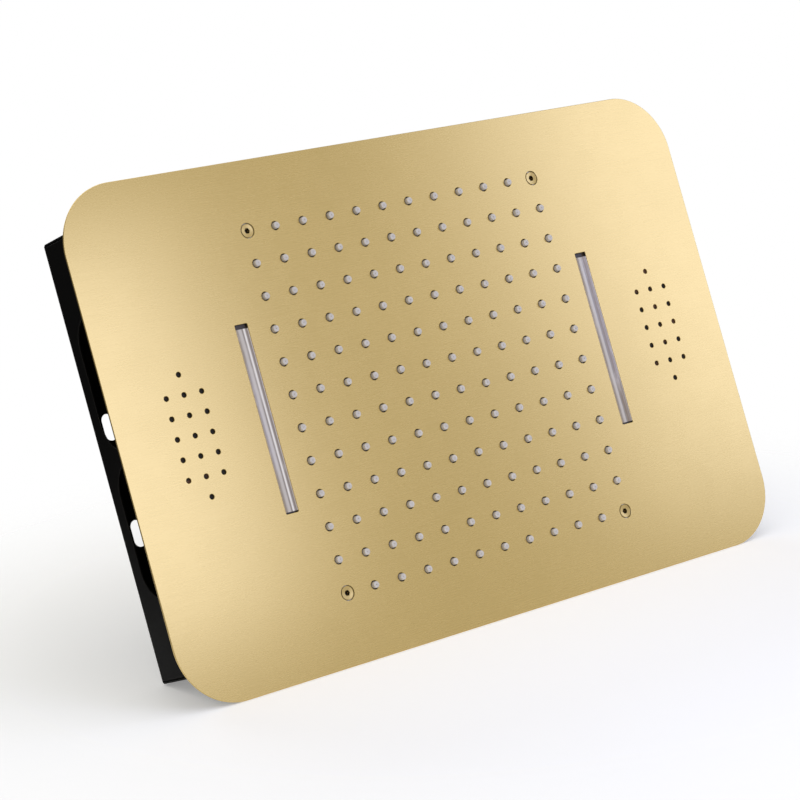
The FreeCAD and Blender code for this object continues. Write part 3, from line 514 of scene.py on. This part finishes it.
@dataclass(frozen=True)
class CircuitBoard:
    """Solder mask over copper tracks that run along and across the board."""

    name: str = "circuit_board"
    mask: Colour = (0.012, 0.10, 0.045)
    raised: Colour = (0.05, 0.26, 0.10)
    pitch: float = 0.0022

    def build(self) -> bpy.types.Material:
        """Returns the finish as a material."""
        shader = Shader(self.name)
        x, y, _ = shader.places()
        step = 2.0 * math.pi / self.pitch
        lines = (x * step).sine().held(0.72, 0.86)
        cross = (y * (step * 0.5)).sine().held(0.88, 0.95)
        patch = shader.noise(90.0, 0.0).held(0.48, 0.52)
        track = lines * patch + cross * (1.0 - patch)
        colour = shader.mix(track * 0.7, self.mask, self.raised)
        shader.bump(track, 0.00003, 0.6)
        return shader.finish(Base_Color=colour, Roughness=0.28 + shader.noise(300.0) * 0.14,
                             Coat_Weight=0.4)


@dataclass(frozen=True)
class Phosphor:
    """Yellow phosphor of an unlit light chip, in a pale package."""

    name: str = "chip_phosphor"
    phosphor: Colour = (0.78, 0.62, 0.16)
    package: Colour = (0.86, 0.80, 0.52)

    def build(self) -> bpy.types.Material:
        """Returns the finish as a material."""
        shader = Shader(self.name)
        cloud = shader.noise(800.0, 3.0)
        colour = shader.mix(cloud.held(0.35, 0.65), self.phosphor, self.package)
        shader.bump(cloud, 0.00004, 0.4)
        return shader.finish(Base_Color=colour, Roughness=0.25 + cloud * 0.2)


@dataclass(frozen=True)
class AcousticCloth:
    """Fine black weave that keeps water out of a loudspeaker."""

    name: str = "acoustic_cloth"
    colour: Colour = (0.020, 0.018, 0.017)
    copper_brown: Colour = (0.34, 0.15, 0.07)
    thread: float = 0.0005

    def build(self) -> bpy.types.Material:
        """Returns the finish as a material."""
        shader = Shader(self.name)
        x, y, _ = shader.places()
        step = math.pi / self.thread
        warp, weft = (x * step).sine(), (y * step).sine()
        weave = abs(warp * weft) ** 0.6
        # the threads turn copper brown in patches
        patch = shader.noise(75.0, 1.0).held(0.55, 0.66)
        thread = shader.mix(patch * 0.6, self.colour, self.copper_brown)
        colour = shader.mix(weave, scaled(self.colour, 0.35), thread)
        shader.bump(weave, 0.0001, 0.8)
        return shader.finish(Base_Color=colour, Roughness=0.82 + weave * 0.1, Sheen_Weight=0.15)


@dataclass(frozen=True)
class Winding:
    """Enamelled copper wire wound round the loudspeaker's coil former."""

    name: str = "coil_winding"
    # painted shade: the darker copper between the turns of wire
    painted_turn_shade: Colour = (0.26, 0.08, 0.03)
    wire: Colour = (0.72, 0.32, 0.13)
    turn: float = 0.0004

    def build(self) -> bpy.types.Material:
        """Returns the finish as a material."""
        shader = Shader(self.name)
        _, _, z = shader.places()
        turns = (z * (2.0 * math.pi / self.turn)).sine() * 0.5 + 0.5
        tone = shader.noise(240.0, 3.0)
        # painted shade between the turns of wire
        colour = shader.mix(turns * 0.6 + tone * 0.3, self.painted_turn_shade, self.wire)
        shader.bump(turns, 0.00008, 0.8)
        return shader.finish(Base_Color=colour, Metallic=1.0, Roughness=0.3 + tone * 0.12)


# --------------------------------------------------------------------------
# Mesh helpers
# --------------------------------------------------------------------------


def keep_piece(mesh: bpy.types.Mesh, name: str, material: bpy.types.Material,
               replaced: Iterable[str] = (), body: str = ROOT) -> bpy.types.Object:
    """Makes a finished piece of a mesh.

    Args:
        mesh: the mesh, with its place in it.
        name: the piece's name.
        material: its finish.
        replaced: CAD nodes that it stands for.
        body: the body that it rides on.

    Returns:
        The piece.
    """
    mesh.name = name
    mesh.materials.clear()
    mesh.materials.append(material)
    piece = bpy.data.objects.new(name, mesh)
    bpy.context.scene.collection.objects.link(piece)
    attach(piece, body)
    if replaced:
        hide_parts(*replaced)
    LOG.info("%s: %d faces on %s", name, len(mesh.polygons), body)
    return piece


def to_mesh(shape: bmesh.types.BMesh, name: str, smooth: float | None = 35.0) -> bpy.types.Mesh:
    """Turns a bmesh into a mesh.

    Args:
        shape: the bmesh, which is freed.
        name: the mesh's name.
        smooth: edges sharper than this angle, in degrees, stay sharp. None is flat shading.

    Returns:
        The mesh.
    """
    mesh = bpy.data.meshes.new(name)
    shape.to_mesh(mesh)
    shape.free()
    if smooth is not None:
        mesh.polygons.foreach_set("use_smooth", [True] * len(mesh.polygons))
        mesh.set_sharp_from_angle(angle=math.radians(smooth))
    return mesh


def spun(profile: Sequence[Point], steps: int) -> bmesh.types.BMesh:
    """Spins a profile about Z.

    Args:
        profile: (radius, height) points in metres.
        steps: how many segments the turn has.

    Returns:
        The closed shell of revolution.
    """
    shape = bmesh.new()
    points = [shape.verts.new((radius, 0.0, height)) for radius, height in profile]
    edges = [shape.edges.new(pair) for pair in zip(points, points[1:])]
    bmesh.ops.spin(shape, geom=points + edges, cent=(0, 0, 0), axis=(0, 0, 1), dvec=(0, 0, 0),
                   angle=2.0 * math.pi, steps=steps, use_merge=True)
    bmesh.ops.remove_doubles(shape, verts=shape.verts, dist=SAME_MADE)
    bmesh.ops.recalc_face_normals(shape, faces=shape.faces)
    return shape


def scattered(shape: bmesh.types.BMesh, places: Sequence[Point]) -> None:
    """Puts a copy of the whole shape at each (x, y) place, instead of the one at the origin."""
    model = shape.verts[:] + shape.edges[:] + shape.faces[:]
    for x, y in places[1:]:
        copy = bmesh.ops.duplicate(shape, geom=model)
        moved = [part for part in copy["geom"] if isinstance(part, bmesh.types.BMVert)]
        bmesh.ops.translate(shape, vec=(x, y, 0), verts=moved)
    first = [part for part in model if isinstance(part, bmesh.types.BMVert)]
    bmesh.ops.translate(shape, vec=(*places[0], 0), verts=first)


def softened(shape: bmesh.types.BMesh, width: float, segments: int = 2,
             angle: float = 50.0) -> None:
    """Rounds every edge that is sharper than an angle.

    Args:
        shape: the bmesh to work on.
        width: the width of the rounding, in metres.
        segments: how many faces it has.
        angle: edges flatter than this, in degrees, are left.
    """
    edges = [edge for edge in shape.edges
             if len(edge.link_faces) == 2 and edge.calc_face_angle(0.0) > math.radians(angle)]
    bmesh.ops.bevel(shape, geom=edges, offset=width, offset_type="OFFSET", affect="EDGES",
                    segments=segments, profile=0.5, material=-1, clamp_overlap=True,
                    loop_slide=False)


def soft_copy(nodes: Sequence[str], material: bpy.types.Material, width: float,
              name: str | None = None, body: str = ROOT,
              seam: int | None = None) -> bpy.types.Object:
    """Replaces CAD nodes by one copy of them with rounded edges.

    Args:
        nodes: the CAD nodes.
        material: the finish.
        width: the rounding, in metres.
        name: the piece's name, or None to name it after the first node.
        body: the body that it rides on.
        seam: 0 or 1 for nodes that are welded to each other where that coordinate is 0.

    Returns:
        The piece.
    """
    shape = bmesh.new()
    for node in nodes:
        shape.from_mesh(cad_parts[node].data)
    if seam is not None:
        inner = [face for face in shape.faces
                 if all(abs(vert.co[seam]) < SAME_PLACE for vert in face.verts)]
        bmesh.ops.delete(shape, geom=inner, context="FACES")
    bmesh.ops.remove_doubles(shape, verts=shape.verts, dist=SAME_PLACE)
    bmesh.ops.dissolve_limit(shape, angle_limit=math.radians(0.5), verts=shape.verts,
                             edges=shape.edges, delimit=set())
    softened(shape, width)
    name = name or f"{nodes[0]}_skin"
    piece = keep_piece(to_mesh(shape, name), name, material, nodes, body)
    piece.modifiers.new("flat_faces", "WEIGHTED_NORMAL").keep_sharp = True
    return piece


def outline(points: Sequence[Point], hole: bool) -> list[Point]:
    """Points of a closed line, wound one way for an edge and the other way for a hole."""
    area = sum(a[0] * b[1] - b[0] * a[1] for a, b in zip(points, [*points[1:], points[0]]))
    return list(reversed(points)) if (area > 0) == hole else list(points)


def arc(x: float, y: float, radius: float, start: float, turn: float,
        steps: int) -> list[Point]:
    """Points along an arc, with its angles in degrees."""
    return [(x + radius * math.cos(math.radians(start + turn * n / steps)),
             y + radius * math.sin(math.radians(start + turn * n / steps)))
            for n in range(steps + 1)]


def circle(x: float, y: float, radius: float, steps: int) -> list[Point]:
    """Points of a full circle."""
    return arc(x, y, radius, 0.0, 360.0, steps)[:-1]


def rounded(half_x: float, half_y: float, radius: float, steps: int,
            x: float = 0.0, y: float = 0.0) -> list[Point]:
    """Points of a rectangle with rounded corners."""
    points: list[Point] = []
    for number, (sx, sy) in enumerate(((1, 1), (-1, 1), (-1, -1), (1, -1))):
        points += arc(x + sx * (half_x - radius), y + sy * (half_y - radius), radius,
                      90.0 * number, 90.0, steps)
    return points


def cut_sheet(name: str, edge: Sequence[Point],
              holes: Sequence[Sequence[Point]], low: float, high: float,
              soft: float) -> bpy.types.Mesh:
    """Makes a flat sheet with openings and rounded edges.

    Args:
        name: the mesh's name.
        edge: the outline's points.
        holes: the points of each opening.
        low: height of the sheet's front.
        high: height of its back.
        soft: radius of the rounding along every edge.

    Returns:
        The mesh, in place.
    """
    flat = bpy.data.curves.new(name, "CURVE")
    flat.dimensions = "2D"
    flat.fill_mode = "BOTH"
    flat.extrude = (high - low) / 2.0 - soft
    flat.bevel_depth = soft
    flat.bevel_resolution = 1
    flat.offset = -soft
    for points, hole in [(edge, False)] + [(points, True) for points in holes]:
        line = flat.splines.new("POLY")
        line.points.add(len(points) - 1)
        for point, (x, y) in zip(line.points, outline(points, hole)):
            point.co = (x, y, 0.0, 1.0)
        line.use_cyclic_u = True
    drawn = bpy.data.objects.new(name, flat)
    bpy.context.scene.collection.objects.link(drawn)
    bpy.context.view_layer.update()
    graph = bpy.context.evaluated_depsgraph_get()
    mesh = bpy.data.meshes.new_from_object(drawn.evaluated_get(graph))
    bpy.data.objects.remove(drawn)
    mesh.transform(Matrix.Translation((0.0, 0.0, (low + high) / 2.0)))
    shape = bmesh.new()
    shape.from_mesh(mesh)
    bmesh.ops.remove_doubles(shape, verts=shape.verts, dist=SAME_MADE)
    bmesh.ops.recalc_face_normals(shape, faces=shape.faces)
    shape.to_mesh(mesh)
    shape.free()
    mesh.polygons.foreach_set("use_smooth", [False] * len(mesh.polygons))
    return mesh


# --------------------------------------------------------------------------
# Sub-assemblies
# --------------------------------------------------------------------------


@dataclass
class FacePlate:
    """Gold plate with its nozzles, light slots, sound holes and screws."""

    columns: int = 12
    pitch: float = 25 * MM
    nozzle_hole: float = 3.4 * MM
    mat_sheet: float = 2 * MM
    mat_notch: float = 14.9 * MM
    mat_hole: float = 0.6 * MM
    corner: float = 48 * MM
    edge_radius: float = 0.3 * MM
    screw_seat: float = 5.75 * MM
    screw_head: float = 5.25 * MM
    screw_face: float = 2.42 * MM
    key_flat: float = 2.0 * MM
    key_depth: float = 3.2 * MM
    rings: int = 7
    ring_outer: float = 4.95 * MM
    ring_inner: float = 2.75 * MM
    light_x: float = 165 * MM
    light_half: tuple[float, float] = (5.5 * MM, 71 * MM)
    light_corner: float = 0.8 * MM
    sound_x: float = 227 * MM
    sound_pitch: float = 15 * MM
    sound_hole: float = 2.0 * MM

    def reach(self) -> float:
        """Distance from the middle to the outer nozzles."""
        return (self.columns - 1) * self.pitch / 2.0

    def corners(self) -> list[Point]:
        """Places of the four face screws."""
        return [(sx * self.reach(), sy * self.reach()) for sx in (-1, 1) for sy in (-1, 1)]

    def nozzles(self) -> list[Point]:
        """Places of the nozzles: a square grid whose corners hold the screws."""
        line = [n * self.pitch - self.reach() for n in range(self.columns)]
        ends = (line[0], line[-1])
        return [(x, y) for x in line for y in line if not (x in ends and y in ends)]

    def sounds(self) -> list[Point]:
        """Places of the sound holes: seven in the middle column and five beside it."""
        places = []
        for side in Side:
            for column, count in ((-1, 5), (0, 7), (1, 5)):
                places += [(side.sign * self.sound_x + column * self.sound_pitch,
                            (n - (count - 1) / 2.0) * self.sound_pitch) for n in range(count)]
        return places

    def build(self) -> None:
        """Makes the plate, the nozzles with their mat, and the screws."""
        low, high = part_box("face_plate")
        holes = [circle(x, y, self.nozzle_hole, 24) for x, y in self.nozzles()]
        holes += [circle(x, y, self.sound_hole, 16) for x, y in self.sounds()]
        holes += [circle(x, y, self.screw_seat, 40) for x, y in self.corners()]
        holes += [rounded(*self.light_half, self.light_corner, 4, side.sign * self.light_x)
                  for side in Side]
        mesh = cut_sheet("face_plate_skin", rounded(high.x, high.y, self.corner, 24), holes,
                         low.z, high.z, self.edge_radius)
        keep_piece(mesh, "face_plate_skin", SatinGold().build(), ["face_plate"])
        self.mat()
        self.screws()

    def mat(self) -> None:
        """Makes the pale nozzles and the mat that carries them, near black as painted shade in the
        gaps round the nozzles.
        """
        low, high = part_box("nozzle_mat")
        sheet = high.z - self.mat_sheet
        # radius and height in millimetres, from the bore over the tip to the mat
        profile = [(0.30, 1.4), (0.30, 0.08), (0.40, 0.0), (2.22, 0.0), (2.44, 0.12),
                   (2.50, 0.4), (2.56, sheet / MM)]
        nub = spun([(r * MM, low.z + z * MM) for r, z in profile], 14)
        scattered(nub, self.nozzles())
        pale = Silicone("nozzle_silicone", (0.66, 0.61, 0.545), 0.5, 1600.0)
        keep_piece(to_mesh(nub, "nozzle_tips", 50.0), "nozzle_tips", pale.build(),
                   ["nozzle_mat"])
        half, notch = high.x, self.reach() - self.pitch + self.mat_notch
        corner = [(half, notch), (notch, notch), (notch, half)]
        edge = [(sx * x, sy * y) for sx, sy in ((1, 1), (-1, 1), (-1, -1), (1, -1))
                for x, y in (corner if sx * sy > 0 else corner[::-1])]
        bores = [circle(x, y, self.mat_hole, 8) for x, y in self.nozzles()]
        mesh = cut_sheet("nozzle_mat_sheet", edge, bores, sheet, high.z, 0.2 * MM)
        # painted shade: the mat is near black to stand in for the shade in the gaps round the
        # nozzles
        painted_shade = Silicone("mat_rubber_painted_shade", (0.012, 0.010, 0.009), 0.6, 900.0)
        keep_piece(mesh, "nozzle_mat_sheet", painted_shade.build())

    def screws(self) -> None:
        """Makes four dished screw heads with a hexagon socket."""
        face, outer, inner = self.screw_face, self.ring_outer, self.ring_inner
        steps = 2 * self.rings
        profile = [(self.screw_head - 1.2 * MM, face + 2.4 * MM),
                   (self.screw_head, face + 0.5 * MM), (self.screw_head, face + 0.22 * MM),
                   (self.screw_head - 0.2 * MM, face + 0.02 * MM), (outer + 0.15 * MM, face)]
        for n in range(steps + 1):
            share = n / steps
            profile.append((outer + (inner - outer) * share,
                            face + (0.10 + 0.28 * share + (0.045 if n % 2 else 0.0)) * MM))
        profile += [(2.42 * MM, face + 0.42 * MM), (2.32 * MM, face + 0.5 * MM),
                    (2.32 * MM, face + self.key_depth), (0.0, face + self.key_depth + 0.5 * MM)]
        head = spun(profile, 48)
        sector = math.pi / 3.0
        for vert in head.verts:
            radius = vert.co.xy.length
            if 0.1 * MM < radius < 2.4 * MM:
                angle = math.atan2(vert.co.y, vert.co.x) % sector - sector / 2.0
                vert.co.xy *= self.key_flat / math.cos(angle) / radius
        scattered(head, self.corners())
        finish = TurnedGold(self.reach(), self.reach(), self.key_flat, self.screw_head)
        keep_piece(to_mesh(head, "face_screw_heads", 40.0), "face_screw_heads", finish.build(),
                   ["face_screws"])


@dataclass
class LightBar:
    """Clear rod in a slot of the plate, with the flange behind it, darkened as painted shade at
    the rod's ends.
    """

    side: Side
    # the rod's painted highlight and painted dim band
    painted_glint: Colour
    painted_dim_band: Colour
    rod_ends: tuple[float, float] = (-67.5 * MM, 69.8 * MM)
    half_width: float = 5.42 * MM
    crown: float = 0.4 * MM
    proud: float = 0.05 * MM
    rod_edge: float = 0.3 * MM
    rod_foot: float = 1.0 * MM
    fullness: float = 0.8
    flange_height: float = 1.2 * MM
    flange_corner: float = 1.0 * MM
    flange_edge: float = 0.2 * MM
    steps: int = 12

    def build(self, flange: bpy.types.Material) -> None:
        """Makes the rod and its flange.

        Args:
            flange: the finish of the flange behind the plate, darkened as painted shade at the
                rod's ends.
        """
        low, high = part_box(self.side.of("light_window"))
        front, back = (corner.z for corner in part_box("face_plate"))
        middle, half = (low.x + high.x) / 2.0, self.half_width
        top, foot = front - self.proud, back + self.rod_foot
        shape = bmesh.new()
        curve = [(half * math.cos(math.pi * n / self.steps),
                  top + self.crown
                  * (1.0 - math.sin(math.pi * n / self.steps) ** self.fullness))
                 for n in range(self.steps + 1)]
        points = [(half, foot), *curve, (-half, foot)]
        ring = [shape.verts.new((middle + x, self.rod_ends[0], z)) for x, z in points]
        face = shape.faces.new(ring)
        grown = bmesh.ops.extrude_face_region(shape, geom=[face])
        moved = [part for part in grown["geom"] if isinstance(part, bmesh.types.BMVert)]
        bmesh.ops.translate(shape, vec=(0, self.rod_ends[1] - self.rod_ends[0], 0), verts=moved)
        bmesh.ops.recalc_face_normals(shape, faces=shape.faces)
        softened(shape, self.rod_edge, 2, 60.0)
        name = self.side.of("light_rod")
        clear = LightRod(name, middle, half, self.painted_glint, self.painted_dim_band).build()
        keep_piece(to_mesh(shape, name, 40.0), name, clear,
                   [self.side.of("light_window")])
        name = self.side.of("light_flange")
        edge = rounded((high.x - low.x) / 2.0, high.y, self.flange_corner, 4, middle)
        mesh = cut_sheet(name, edge, [], high.z - self.flange_height, high.z, self.flange_edge)
        keep_piece(mesh, name, flange)


@dataclass
class RecessBox:
    """Black sheet box above the plate."""

    edge: float = 0.25 * MM

    def build(self, coat: bpy.types.Material) -> None:
        """Makes the walls and the back panel with rounded sheet edges."""
        for side in Side:
            wall = side.of("end_wall")
            soft_copy([f"{wall}_front", f"{wall}_rear"], coat, self.edge, f"{wall}_skin",
                      seam=1)
        for wall in ("long_wall_front", "long_wall_rear"):
            soft_copy(both(wall), coat, self.edge, f"{wall}_skin", seam=0)
        soft_copy(["back_panel"], coat, self.edge)


@dataclass(frozen=True)
class Lamp:
    """A soft rectangular light that points at a place on the object."""

    name: str
    place: Place
    aim: Place
    size: tuple[float, float]
    power: float
    colour: Colour = (1.0, 1.0, 1.0)

    def hang(self) -> None:
        """Makes the light."""
        data = bpy.data.lights.new(self.name, "AREA")
        data.shape = "RECTANGLE"
        data.size, data.size_y = self.size
        data.energy, data.color = self.power, self.colour
        lamp = bpy.data.objects.new(self.name, data)
        lamp.location = self.place
        ahead = Vector(self.aim) - Vector(self.place)
        lamp.rotation_euler = ahead.to_track_quat("-Z", "Y").to_euler()
        lamp.visible_camera = False
        bpy.context.scene.collection.objects.link(lamp)


WINDOW = (0.85, 1.0, 1.8)       # the bluish light of the two windows
LAMPS = (
    Lamp("window_left", (0.06, -0.045, -0.72), (-0.29, 0.0, 0.0), (0.44, 0.32), 0.54, WINDOW),
    Lamp("window_right", (1.15, -0.19, -0.75), (0.29, 0.0, 0.0), (0.75, 0.6), 1.66, WINDOW),
    Lamp("overhead", (0.0, -1.6, -0.9), (0.0, 0.0, 0.0), (1.6, 1.2), 4.4),
    Lamp("behind", (0.0, -1.5, 1.2), (0.0, 0.0, 0.05), (1.8, 1.4), 10.0),
)


@dataclass
class Studio:
    """Camera, lights and the pale floor that the object leans on."""

    camera: Place = (-1.16102, 0.09704, -1.53806)
    right: Place = (0.78743, 0.26826, -0.55496)
    down: Place = (-0.19163, 0.96226, 0.19325)
    ahead: Place = (0.58586, -0.04582, 0.80912)
    lens: float = 113.94
    sensor: float = 36.0
    floor_size: float = 7.0
    floor_gap: float = 0.4 * MM
    floor_glow: float = 0.28
    floor_fade: tuple[float, float] = (0.34, 0.62)

    def build(self) -> None:
        """Makes everything that isn't part of the object."""
        self.make_camera()
        self.make_world()
        self.make_floor()
        for lamp in LAMPS:
            lamp.hang()

    def make_camera(self) -> None:
        """Places the camera."""
        data = bpy.data.cameras.new("camera")
        data.lens, data.sensor_width = self.lens, self.sensor
        data.clip_start, data.clip_end = 0.05, 50.0
        eye = bpy.data.objects.new("camera", data)
        right, down, ahead = Vector(self.right), Vector(self.down), Vector(self.ahead)
        turn = Matrix((right, -down, -ahead)).transposed().to_4x4()
        eye.matrix_world = Matrix.Translation(self.camera) @ turn
        bpy.context.scene.collection.objects.link(eye)
        bpy.context.scene.camera = eye

    @staticmethod
    def make_world() -> None:
        """Surrounds the object with soft white light."""
        bpy.context.scene.view_settings.view_transform = "Standard"
        world = bpy.data.worlds.new("studio")
        world.use_nodes = True
        tree = Tree(world.node_tree)
        _, y, z = tree.axes(tree.node("ShaderNodeTexCoord", output="Generated"))
        power = (0.62 - (z.held(-0.25, 0.55) * 0.52)) * (1.0 - y * 0.12)
        soft = tree.node("ShaderNodeBackground", None,
                         {"Color": (1.0, 0.985, 0.96), "Strength": power})
        seen = tree.node("ShaderNodeBackground", None,
                         {"Color": (1.0, 1.0, 1.0), "Strength": 1.0})
        looked = tree.node("ShaderNodeLightPath", output="Is Camera Ray")
        sky = tree.node("ShaderNodeMixShader", None, {0: looked, 1: soft, 2: seen})
        tree.node("ShaderNodeOutputWorld", None, {"Surface": sky})
        bpy.context.scene.world = world

    def make_floor(self) -> None:
        """Lays the floor under the plate's edge and the back edge of the box."""
        plate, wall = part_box("face_plate"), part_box("back_panel")
        front = Vector((0.0, plate[1].y, plate[0].z))
        back = Vector((0.0, wall[1].y, wall[1].z))
        along = (back - front).normalized()
        up = Vector((1.0, 0.0, 0.0)).cross(along)
        if up.y > 0.0:
            up.negate()
        shape = bmesh.new()
        bmesh.ops.create_grid(shape, x_segments=1, y_segments=1, size=self.floor_size / 2.0)
        turn = Matrix((Vector((1.0, 0.0, 0.0)), up.cross(Vector((1.0, 0.0, 0.0))), up))
        bmesh.ops.transform(shape, verts=shape.verts,
                            matrix=Matrix.Translation(front - up * self.floor_gap)
                            @ turn.transposed().to_4x4())
        floor = bpy.data.objects.new("floor", to_mesh(shape, "floor", None))
        bpy.context.scene.collection.objects.link(floor)
        shader = Shader("floor_paper")
        grain = shader.noise(900.0, 2.0)
        shader.finish(Base_Color=shader.mix(grain, (0.86, 0.86, 0.845), (0.90, 0.90, 0.885)),
                      Roughness=0.85, Emission_Color=(1.0, 0.995, 0.98),
                      Emission_Strength=self.floor_glow)
        paper = Wire(shader, shader.surface.outputs[0])
        clear = shader.node("ShaderNodeBsdfTransparent")
        behind = shader.node("ShaderNodeNewGeometry", output="Backfacing")
        away = shader.node("ShaderNodeVectorMath", {"operation": "LENGTH"},
                           {0: shader.point}, "Value").held(*self.floor_fade)
        edge = 1.0 - (1.0 - behind) * (1.0 - away)
        shader.plug(shader.output, shader.node("ShaderNodeMixShader", None,
                                               {0: edge, 1: paper, 2: clear}))
        floor.data.materials.append(shader.material)


# --------------------------------------------------------------------------
# Everything together
# --------------------------------------------------------------------------


def dress(nodes: Iterable[str], material: bpy.types.Material) -> None:
    """Gives CAD nodes that stay as they are a better finish."""
    for node in nodes:
        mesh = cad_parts[node].data
        mesh.materials.clear()
        mesh.materials.append(material)
        LOG.info("%s: finished as %s", node, material.name)


def main() -> None:
    """Builds every piece round the frame."""
    logging.basicConfig(level=logging.INFO, format="%(name)s: %(message)s")
    FacePlate().build()
    rubber = Silicone("seal_rubber", (0.018, 0.018, 0.019), 0.62).build()
    # painted shade: the flange is darkened to stand in for the shade at the rods' ends
    flange = Moulded("acrylic_painted_shade", (0.050, 0.034, 0.027), 0.35).build()
    coat = PowderCoat().build()
    chamber = RolledSteel("pan_steel").build()
    fastener = RolledSteel("fastener_steel", (0.50, 0.50, 0.49), 0.3, (1.0, 1.0, 0.2)).build()
    brass = TurnedBrass().build()
    white = Moulded("white_plastic", (0.72, 0.72, 0.70), 0.42).build()
    black = Moulded("black_plastic", (0.022, 0.022, 0.024), 0.42).build()
    board = CircuitBoard().build()
    chips = Phosphor().build()
    cloth = AcousticCloth().build()
    basket = RolledSteel("basket_steel", (0.20, 0.20, 0.205), 0.45).build()
    ferrite = Moulded("ferrite", (0.06, 0.058, 0.056), 0.55).build()
    cone = Silicone("cone_plastic", (0.03, 0.03, 0.032), 0.4, 700.0).build()
    coil = Winding().build()
    # each rod's painted highlight and painted dim band, weaker on the right
    LightBar(Side.LEFT, (0.88, 0.83, 0.77), (0.33, 0.28, 0.25)).build(flange)
    LightBar(Side.RIGHT, (0.26, 0.20, 0.15), (0.40, 0.32, 0.25)).build(flange)
    RecessBox().build(coat)
    soft_copy(["water_chamber"], chamber, 0.3 * MM)
    for node in ("inlet_locknut", "inlet_tail"):
        soft_copy([node], brass, 0.3 * MM)
    soft_copy(["inlet_union_nut"], brass, 0.4 * MM, body="union_nut")
    for node in ("pillar_1", "pillar_2", "pillar_3", "pillar_4", "stud_nuts", "pillar_screws"):
        soft_copy([node], fastener, 0.2 * MM)
    for node in ("controller_case", "controller_lid", *both("speaker_enclosure")):
        soft_copy([node], black, 0.4 * MM)
    for node in both("light_housing"):
        soft_copy([node], white, 0.4 * MM)
    for nodes, material in (
        (["rim_seal", "inlet_washer", "cable_grommet",
          *both("light_seal", "speaker_seal", "speaker_surround")], rubber),
        (["inlet_strainer"], chamber),
        (["plate_studs", "controller_screws"], fastener),
        ([*both("light_board"), "controller_board"], board),
        (both("light_chips"), chips),
        (both("sound_cloth"), cloth),
        (both("speaker_basket"), basket),
        (both("speaker_magnet"), ferrite),
        (both("speaker_cone", "dust_cap"), cone),
        (both("voice_coil"), coil),
    ):
        dress(nodes, material)
    Studio().build()


if __name__ == "__main__":
    main()
